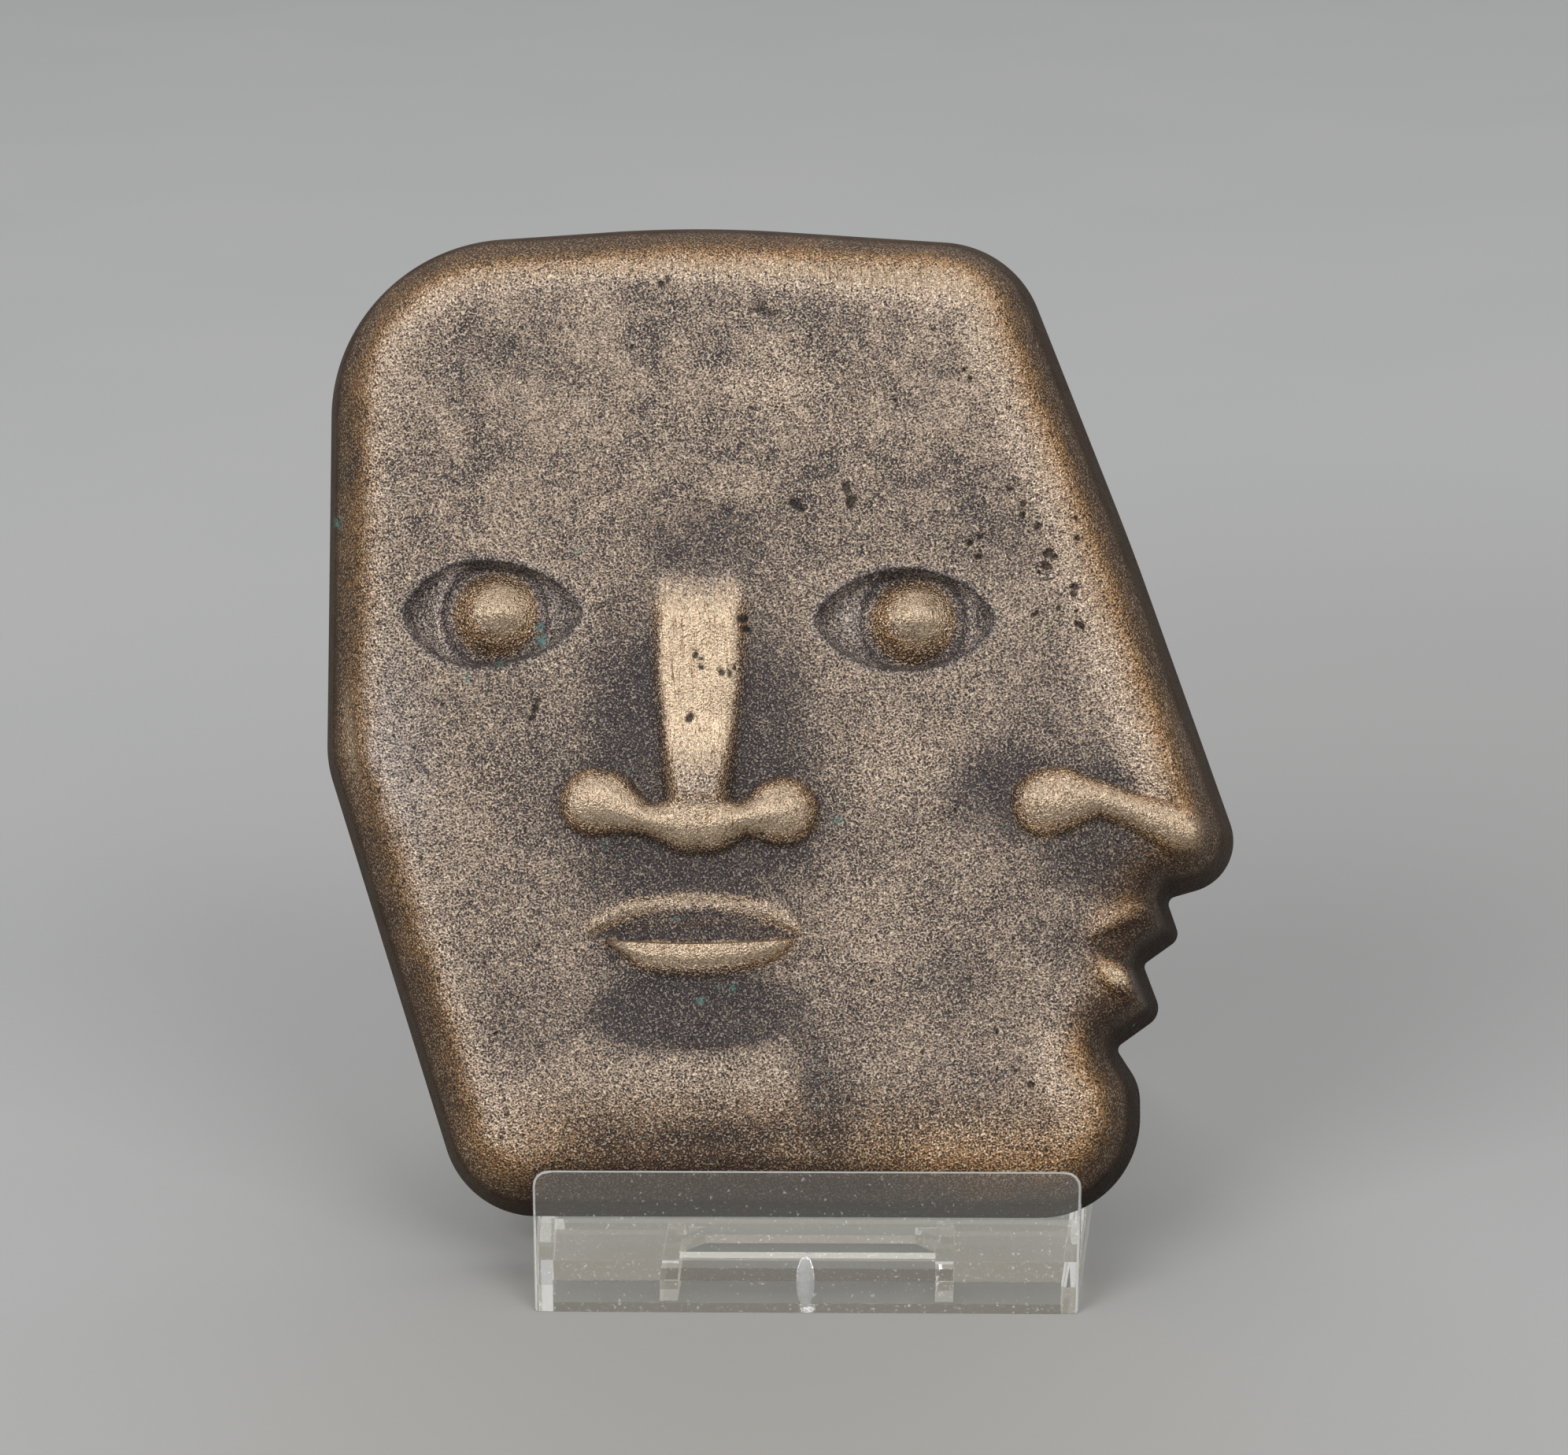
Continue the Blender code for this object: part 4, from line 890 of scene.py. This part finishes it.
def bronzeFinish():
    made = Finish("bronze")
    tone = {name: paint(colour) for name, colour in bronze["colours"].items()}
    flat = made.place(turn=bronze["patternTurn"])
    wornAndPaintedLight, bar, pit, warm, coolPatinaAndSheen = (made.mask(name) for name in ("wornAndPaintedLight", "bar", "pit", "warm", "coolPatinaAndSheen"))
    rim = made.mask("rimDepth") * 10.0
    tilt, patchy = made.mask("tilt") * 90.0, made.mask("patchy")
    grain = made.noise(flat, bronze["grain"], 1.0, 0.5)
    fine = made.noise(flat, bronze["fine"], 0.0, 0.5)
    clump = made.noise(flat, bronze["clump"], 2.0, 0.5)
    mottle = made.noise(flat, bronze["mottle"], 4.0, 0.6, 0.4)
    blotch = made.noise(flat, bronze["blotch"], 3.0, 0.5, 0.3)
    # How much bare metal shows: the rubbed places with their painted shade and highlights, then mottling of
    # two sizes, then the sand grain
    bare = wornAndPaintedLight + (mottle - 0.5) * (0.75 + patchy * 1.2) + (blotch - 0.5) * 0.6
    speck = (grain - 0.5) * 3.4 + (clump - 0.5) * 1.0
    share = (speck * (0.5 + wornAndPaintedLight * 1.05) + 0.45 + (bare - 0.5) * 1.35).ramp(-0.25, 1.25)
    # Cool patina in the sockets, and a painted cool sheen on the left
    pale = made.mix(coolPatinaAndSheen * 0.6, tone["pale"], tone["coolPaleAndSheen"])
    colour = made.mix(share, tone["dark"], pale)
    # Gold-brown where the surface turns away, on the rounded rim above all, and dark on the wall
    ragged = rim + (grain - 0.5) * 3.0 + (mottle - 0.5) * 3.5
    onRim = ragged.ramp(8.0, 4.2) * rim.ramp(0.9, 1.6)
    turned = tilt.ramp(18.0, 48.0)
    golden = 1.0 - (1.0 - onRim * 0.95) * (1.0 - turned * 0.7 * (1.0 - coolPatinaAndSheen)) * (1.0 - warm * 0.9)
    wall = (rim + (mottle - 0.5) * 0.8).ramp(2.2, 1.1)
    deep = 1.0 - onRim * ragged.ramp(5.6, 1.8) * 0.7
    goldShare = share * deep * (1.0 - tilt.ramp(40.0, 75.0) * 0.4)
    colour = made.mix(golden, colour, made.mix(goldShare, tone["goldDark"], tone["goldPale"]))
    # Painted glints on the tops of single grains, and painted shade in the gaps between them
    glint = fine.ramp(0.57, 0.69) * (0.35 + wornAndPaintedLight * 0.65) * (1.0 - wall) * (1.0 - onRim * 0.5)
    colour = made.mix(glint * 0.95, colour, tone["sparkle"])
    paintedGrainShade = fine.ramp(0.43, 0.30) * (0.5 + wornAndPaintedLight * 0.5) * (1.0 - wall)
    colour = made.mix(paintedGrainShade * 0.8, colour, tone["paintedGrainShade"])
    # Small pits of the sand, here and there
    cells = {"Vector": flat, "Scale": 1.0 / bronze["pitSpacing"], "Randomness": 1.0}
    spread = made.node("TexVoronoi", {}, cells, "Distance")
    pinhole = (spread + (grain - 0.5) * 0.06).ramp(0.15, 0.09) * clump.ramp(0.5, 0.6) * (1.0 - wall)
    colour = made.mix(pinhole * 0.75, colour, tone["pit"])
    # Fine scratches run the length of the bar
    upright = made.place(turn=(math.radians(plaque["lean"]), math.radians(bronze["strokeTurn"]), 0.0))
    lengthwise = made.node("Mapping", {}, {"Vector": upright, "Scale": (1.0, 1.0, bronze["strokeStretch"])})
    stroke = made.noise(lengthwise, bronze["stroke"], 3.0, 0.65)
    scratched = stroke.ramp(0.46, 0.30) * 0.8 + (mottle - 0.5) * 0.6 + (grain - 0.5) * 3.0 + 0.22
    barColour = made.mix(scratched, tone["bar"], tone["scratch"])
    # The bar's colour also goes on the painted highlights that the bar mask carries
    barShare = (bar * 1.3 - 0.2 + (grain - 0.5) * 2.2 + (clump - 0.5) * 0.8).ramp(0.1, 0.9)
    colour = made.mix(barShare * 0.92, colour, barColour)
    # The wall is dark and cloudy, and darkest below
    wallColour = made.mix(mottle, tone["goldDark"], tone["side"])
    wallColour = made.mix(warm * 0.9, wallColour, tone["sideLow"])
    colour = made.mix(wall, colour, wallColour)
    colour = made.mix(pit * 0.8, colour, tone["pit"])
    specks = made.noise(flat, bronze["speck"], 3.0, 0.6)
    scattered = specks.ramp(0.66, 0.72) * (1.0 - wornAndPaintedLight.ramp(0.25, 0.6)) * blotch.ramp(0.42, 0.58)
    green = scattered * 0.8 + made.mask("green") * specks.ramp(0.42, 0.56) * 0.9
    colour = made.mix(green, colour, tone["verdigris"])
    roughness = 0.54 - share * 0.16 - bar * 0.12 + wall * 0.12 + pit * 0.2
    metal = 0.55 + share * 0.4 + wall * 0.3 - pit * 0.3 - green * 0.5
    height = grain * 1.0 + fine * 0.9 + clump * 1.0 + mottle * 1.6 - pinhole * 0.8
    height = height * (1.0 - bar * 0.8) + stroke * bar * 0.5
    bump = made.bump(height, bronze["bumpHeight"])
    made.set(Base_Color=colour, Roughness=roughness, Metallic=metal, Normal=bump)
    return made.material


castBack = {
    "dark": (66, 55, 47),
    "pale": (138, 114, 92),
    "rubbed": (176, 148, 116),
    "grain": 0.00035,
    "clump": 0.0016,
    "cloud": 0.016,
    "rub": 0.0005,
    "rubTurn": (0.0, 0.9, 0.3),
    "rubStretch": 0.02,
    "green": 0.0012,
}


def backFinish():
    # The flat back as cast, dull and dark, rubbed a little where it has lain on tables
    made = Finish("bronzeBack")
    flat = made.place(turn=bronze["patternTurn"])
    grain = made.noise(flat, castBack["grain"], 2.0, 0.5)
    clump = made.noise(flat, castBack["clump"], 3.0, 0.6)
    cloud = made.noise(flat, castBack["cloud"], 4.0, 0.6, 0.5)
    share = ((grain - 0.5) * 2.0 + (clump - 0.5) * 1.2 + (cloud - 0.5) * 3.2 + 0.42).ramp(-0.1, 1.2)
    colour = made.mix(share, paint(castBack["dark"]), paint(castBack["pale"]))
    lines = made.place(turn=castBack["rubTurn"], scale=(1.0, 1.0, castBack["rubStretch"]))
    rubbed = made.noise(lines, castBack["rub"], 2.0, 0.6).ramp(0.62, 0.72) * cloud.ramp(0.42, 0.6)
    colour = made.mix(rubbed * 0.5, colour, paint(castBack["rubbed"]))
    green = made.noise(flat, castBack["green"], 3.0, 0.6).ramp(0.66, 0.74) * cloud.ramp(0.52, 0.42)
    colour = made.mix(green * 0.7, colour, paint(bronze["colours"]["verdigris"]))
    bump = made.bump(grain + clump * 1.4 + cloud * 2.0 - rubbed * 0.5, bronze["bumpHeight"])
    made.set(Base_Color=colour, Roughness=0.6 - share * 0.12, Metallic=0.5 + share * 0.35, Normal=bump)
    return made.material


easel = {  # millimetres
    "edge": 0.25,
    "edgeSteps": 3,
    "easedOver": 40.0,  # degrees that an edge turns
    "merge": 0.01,
    "front": -35.0,
    "lipDepth": 2.2,
    "lipHalf": 29.3,
    "lipClear": 12.9,  # above this height the lip's edges get a painted glow
    "ledge": (28.6, 4.6),  # half width and height of what lies under the ledge
    "foot": (2.4, 12.0),  # behind the lip's back, and up to this height
    "nub": (4.273, -33.5, 3.06),
    "nubReach": 3.1,
}


def makeEasel():
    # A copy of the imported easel, with its edges eased as a moulding's are
    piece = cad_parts["display_easel"].copy()
    piece.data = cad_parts["display_easel"].data.copy()
    for key in list(piece.keys()):
        del piece[key]
    piece.parent = None
    piece.name = "clearEasel"
    bpy.context.collection.objects.link(piece)
    select(piece)
    bpy.ops.object.mode_set(mode="EDIT")
    bpy.ops.mesh.select_all(action="SELECT")
    bpy.ops.mesh.remove_doubles(threshold=0.001 * easel["merge"])
    bpy.ops.mesh.dissolve_limited(angle_limit=math.radians(0.6))
    bpy.ops.object.mode_set(mode="OBJECT")
    weighEdges(piece.data)
    bevel = piece.modifiers.new("eased", "BEVEL")
    bevel.width = 0.001 * easel["edge"]
    bevel.segments = easel["edgeSteps"]
    bevel.limit_method = "WEIGHT"
    bevel.harden_normals = False
    bevel.use_clamp_overlap = False
    piece.data.materials.clear()
    finishes = (
        clearFinish("clearPlastic", 1.0),
        frostedFinish("brightEdge", plastic["edgeGlow"]),
        frostedFinish("frostedPlastic", 0.0),
        clearFinish("paintedGlowFoot", plastic["footGlow"]),
    )
    for finish in finishes:
        piece.data.materials.append(finish)
    bevel.material = 1
    bpy.ops.object.modifier_apply(modifier=bevel.name)
    chooseFinish(piece.data)
    bpy.ops.object.shade_flat()
    print("easel:", len(piece.data.vertices), "points")
    return piece


def weighEdges(mesh):
    # Marks the outer edges for the bevel, leaving those under the ledge sharp
    outer = bmesh.new()
    outer.from_mesh(mesh)
    eased = outer.edges.layers.float.new("bevel_weight_edge")
    half, height = easel["ledge"]
    for edge in outer.edges:
        x, _, z = 500.0 * (edge.verts[0].co + edge.verts[1].co)
        underLedge = z < height and abs(x - easel["nub"][0]) < half
        sharp = edge.calc_face_angle_signed() > math.radians(easel["easedOver"])
        edge[eased] = float(sharp and not underLedge)
    outer.to_mesh(mesh)
    outer.free()


def chooseFinish(mesh):
    # Painted glowing edges on the lip alone, frost on the gate mark and a foot behind the lip with a
    # stronger painted glow
    middle, reach = 0.001 * Vector(easel["nub"]), 0.001 * easel["nubReach"]
    slope = math.radians(plaque["lean"])
    behind, footTop = easel["foot"]
    for face in mesh.polygons:
        x, y, z = 1000.0 * face.center
        fromLip = (y - easel["front"]) * math.cos(slope) - z * math.sin(slope)
        atSide = z > easel["lipClear"] or abs(x - easel["nub"][0]) > easel["lipHalf"]
        if face.material_index == 1 and not (fromLip < easel["lipDepth"] and atSide):
            face.material_index = 0
        if (face.center - middle).length < reach and face.area < 2e-6:
            face.material_index = 2
        # The lip's underside gets the painted glow as well
        if z < 0.1 and face.normal.z < -0.9 and fromLip < easel["lipDepth"]:
            face.material_index = 1
        # The foot behind the lip gets the stronger painted glow
        if fromLip > behind and z < footTop:
            face.material_index = 3


plastic = {
    "index": 1.49,
    "clear": (0.99, 0.995, 0.99, 1.0),
    # The colour of the painted glow that stands for light turning within the sheet
    "inside": (0.09, 0.084, 0.072),
    "glowingDust": (1.0, 1.0, 0.97, 1.0),
    "glow": 0.25,
    "footGlow": 3.0,
    "swirl": 0.0035,  # sizes of the patterns, in metres
    "dust": 0.0005,
    "streak": 0.0003,
    "frosted": (0.88, 0.9, 0.9, 1.0),
    "frost": 0.0005,
    "cloudy": 0.3,
    "edgeGlow": 0.08,
    "edgeLight": (1.0, 0.97, 0.9, 1.0),
}


def clearFinish(name, share):
    made = Finish(name)
    where = made.place()
    bump = made.bump(made.noise(where, plastic["swirl"], 3.0, 0.5), 0.00004, 0.12)
    made.set(Base_Color=plastic["clear"], Roughness=0.03, IOR=plastic["index"], Normal=bump)
    made.set(Transmission_Weight=1.0)
    # A painted glow stands for the light that many turns inside the sheet would bring out again, and dust
    # and streaks on it glow too
    dust = made.noise(where, plastic["dust"], 1.0, 0.5).ramp(0.70, 0.78)
    lines = made.place(turn=(0.0, 0.5, 0.0), scale=(1.0, 1.0, 0.03))
    streak = made.noise(lines, plastic["streak"], 1.0, 0.5).ramp(0.70, 0.80)
    inside = (*(part * share for part in plastic["inside"]), 1.0)
    paintedGlow = made.mix(dust * 0.9 + streak * 0.35, inside, plastic["glowingDust"])
    made.set(Emission_Color=paintedGlow, Emission_Strength=plastic["glow"])
    return made.material


def frostedFinish(name, glow):
    # The gate mark that the mould left, and the lip's edges and underside, frosted and given a painted glow
    made = Finish(name)
    bump = made.bump(made.noise(made.place(), plastic["frost"], 3.0, 0.6), 0.0002, 0.8)
    made.set(Base_Color=plastic["frosted"], Roughness=0.3, IOR=plastic["index"], Normal=bump)
    made.set(Transmission_Weight=1.0 - plastic["cloudy"])
    made.set(Emission_Color=plastic["edgeLight"], Emission_Strength=glow)
    return made.material


floor = {
    "size": 6.0,
    "place": (0.0, 1.2, -0.00006),
    "tones": ((166, 167, 167), (176, 176, 174)),
    # Painted reflection and shade of the bronze in front, then painted shadow near it and on its right
    "paintedBounceAndShadow": [  # x, y, where it ends, where it is full, how strong, colour
        (0.0, -0.07, 0.10, 0.0, 0.65, (152, 146, 138)),
        (0.0, -0.07, 0.5, 0.1, 0.25, (152, 152, 150)),
        (0.1, 0.15, 0.22, 0.04, 0.4, (148, 147, 146)),
    ],
}


def makeStage():
    # One wide pale sheet under everything
    bpy.ops.object.select_all(action="DESELECT")
    bpy.ops.mesh.primitive_plane_add(size=floor["size"], location=floor["place"])
    bpy.ops.object.transform_apply(location=True)
    sheet = bpy.context.object
    sheet.name = "paleFloor"
    made = Finish("palePaper")
    where = made.place(shift=-Vector(floor["place"]))
    fleck = made.noise(where, 0.0009, 2.0, 0.6)
    shade = made.noise(where, 0.09, 2.0, 0.5)
    mixed = made.mix(fleck * 0.5 + shade * 0.5, *(paint(tone) for tone in floor["tones"]))
    for x, y, end, full, strong, tone in floor["paintedBounceAndShadow"]:
        apart = made.node("VectorMath", {"operation": "DISTANCE"}, {0: made.place(), 1: (x, y, 0.0)}, 1)
        mixed = made.mix(apart.ramp(end, full) * strong, mixed, paint(tone))
    made.set(Base_Color=mixed, Roughness=0.85)
    sheet.data.materials.append(made.material)


room = {"colour": (0.96, 0.975, 0.99, 1.0), "strength": 0.4, "aim": (0.0, 0.0, 0.05)}

lights = [  # name, degrees round from the front, degrees up, distance, width, height, watts
    ("leftSoftbox", -46.0, 38.0, 1.8, 1.0, 1.0, 13.5),
    ("rightSoftbox", 42.0, 42.0, 1.8, 1.0, 1.0, 10.0),
    ("overheadSoftbox", 180.0, 68.0, 2.4, 2.6, 1.6, 22.0),
]


def makeLights():
    aim = Vector(room["aim"])
    for name, around, up, away, wide, tall, watts in lights:
        data = bpy.data.lights.new(name, "AREA")
        data.shape = "RECTANGLE"
        data.size, data.size_y, data.energy = wide, tall, watts
        lamp = bpy.data.objects.new(name, data)
        turn, rise = math.radians(around), math.radians(up)
        level = Vector((math.sin(turn), -math.cos(turn), 0.0)) * math.cos(rise)
        lamp.location = aim + away * (level + Vector((0.0, 0.0, math.sin(rise))))
        lamp.rotation_euler = (aim - lamp.location).to_track_quat("-Z", "Y").to_euler()
        bpy.context.collection.objects.link(lamp)
    world = bpy.data.worlds.new("softRoom")
    world.use_nodes = True
    surroundings = world.node_tree.nodes["Background"]
    surroundings.inputs["Color"].default_value = room["colour"]
    surroundings.inputs["Strength"].default_value = room["strength"]
    bpy.context.scene.world = world


camera = {
    "place": (27.417, -427.846, 195.837),  # mm
    "down": 18.0,
    "left": 3.5,
    "roll": 1.3,
    "sensor": 36.0,
    "focal": 5000.0 / 1992.0,  # in widths of the picture
}


def makeCamera():
    down, roll = math.radians(camera["down"]), math.radians(camera["roll"])
    swing = Matrix.Rotation(math.radians(camera["left"]), 3, "Z")
    ahead = swing @ Vector((0.0, math.cos(down), -math.sin(down)))
    right = swing @ Vector((1.0, 0.0, 0.0))
    above = swing @ Vector((0.0, math.sin(down), math.cos(down)))
    tilted = right * math.cos(roll) - above * math.sin(roll)
    above = above * math.cos(roll) + right * math.sin(roll)
    data = bpy.data.cameras.new("photoCamera")
    data.sensor_width = camera["sensor"]
    data.lens = camera["sensor"] * camera["focal"]
    data.clip_start, data.clip_end = 0.01, 20.0
    view = bpy.data.objects.new("photoCamera", data)
    turned = Matrix((tilted, above, -ahead)).transposed().to_4x4()
    view.matrix_world = Matrix.Translation(0.001 * Vector(camera["place"])) @ turned
    bpy.context.collection.objects.link(view)
    bpy.context.scene.camera = view


bpy.context.scene.view_settings.view_transform = "Standard"
makeCamera()
relief = makePlaque()
relief.data.materials.append(bronzeFinish())
relief.data.materials.append(backFinish())
for side in relief.data.polygons:
    side.material_index = int(len(side.vertices) > 10)
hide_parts("relief_plaque")
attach(relief, "root")
print("bronze finished")

clear = makeEasel()
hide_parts("display_easel")
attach(clear, "root")
print("easel finished")

makeStage()
makeLights()
print("stage, lights and camera set")
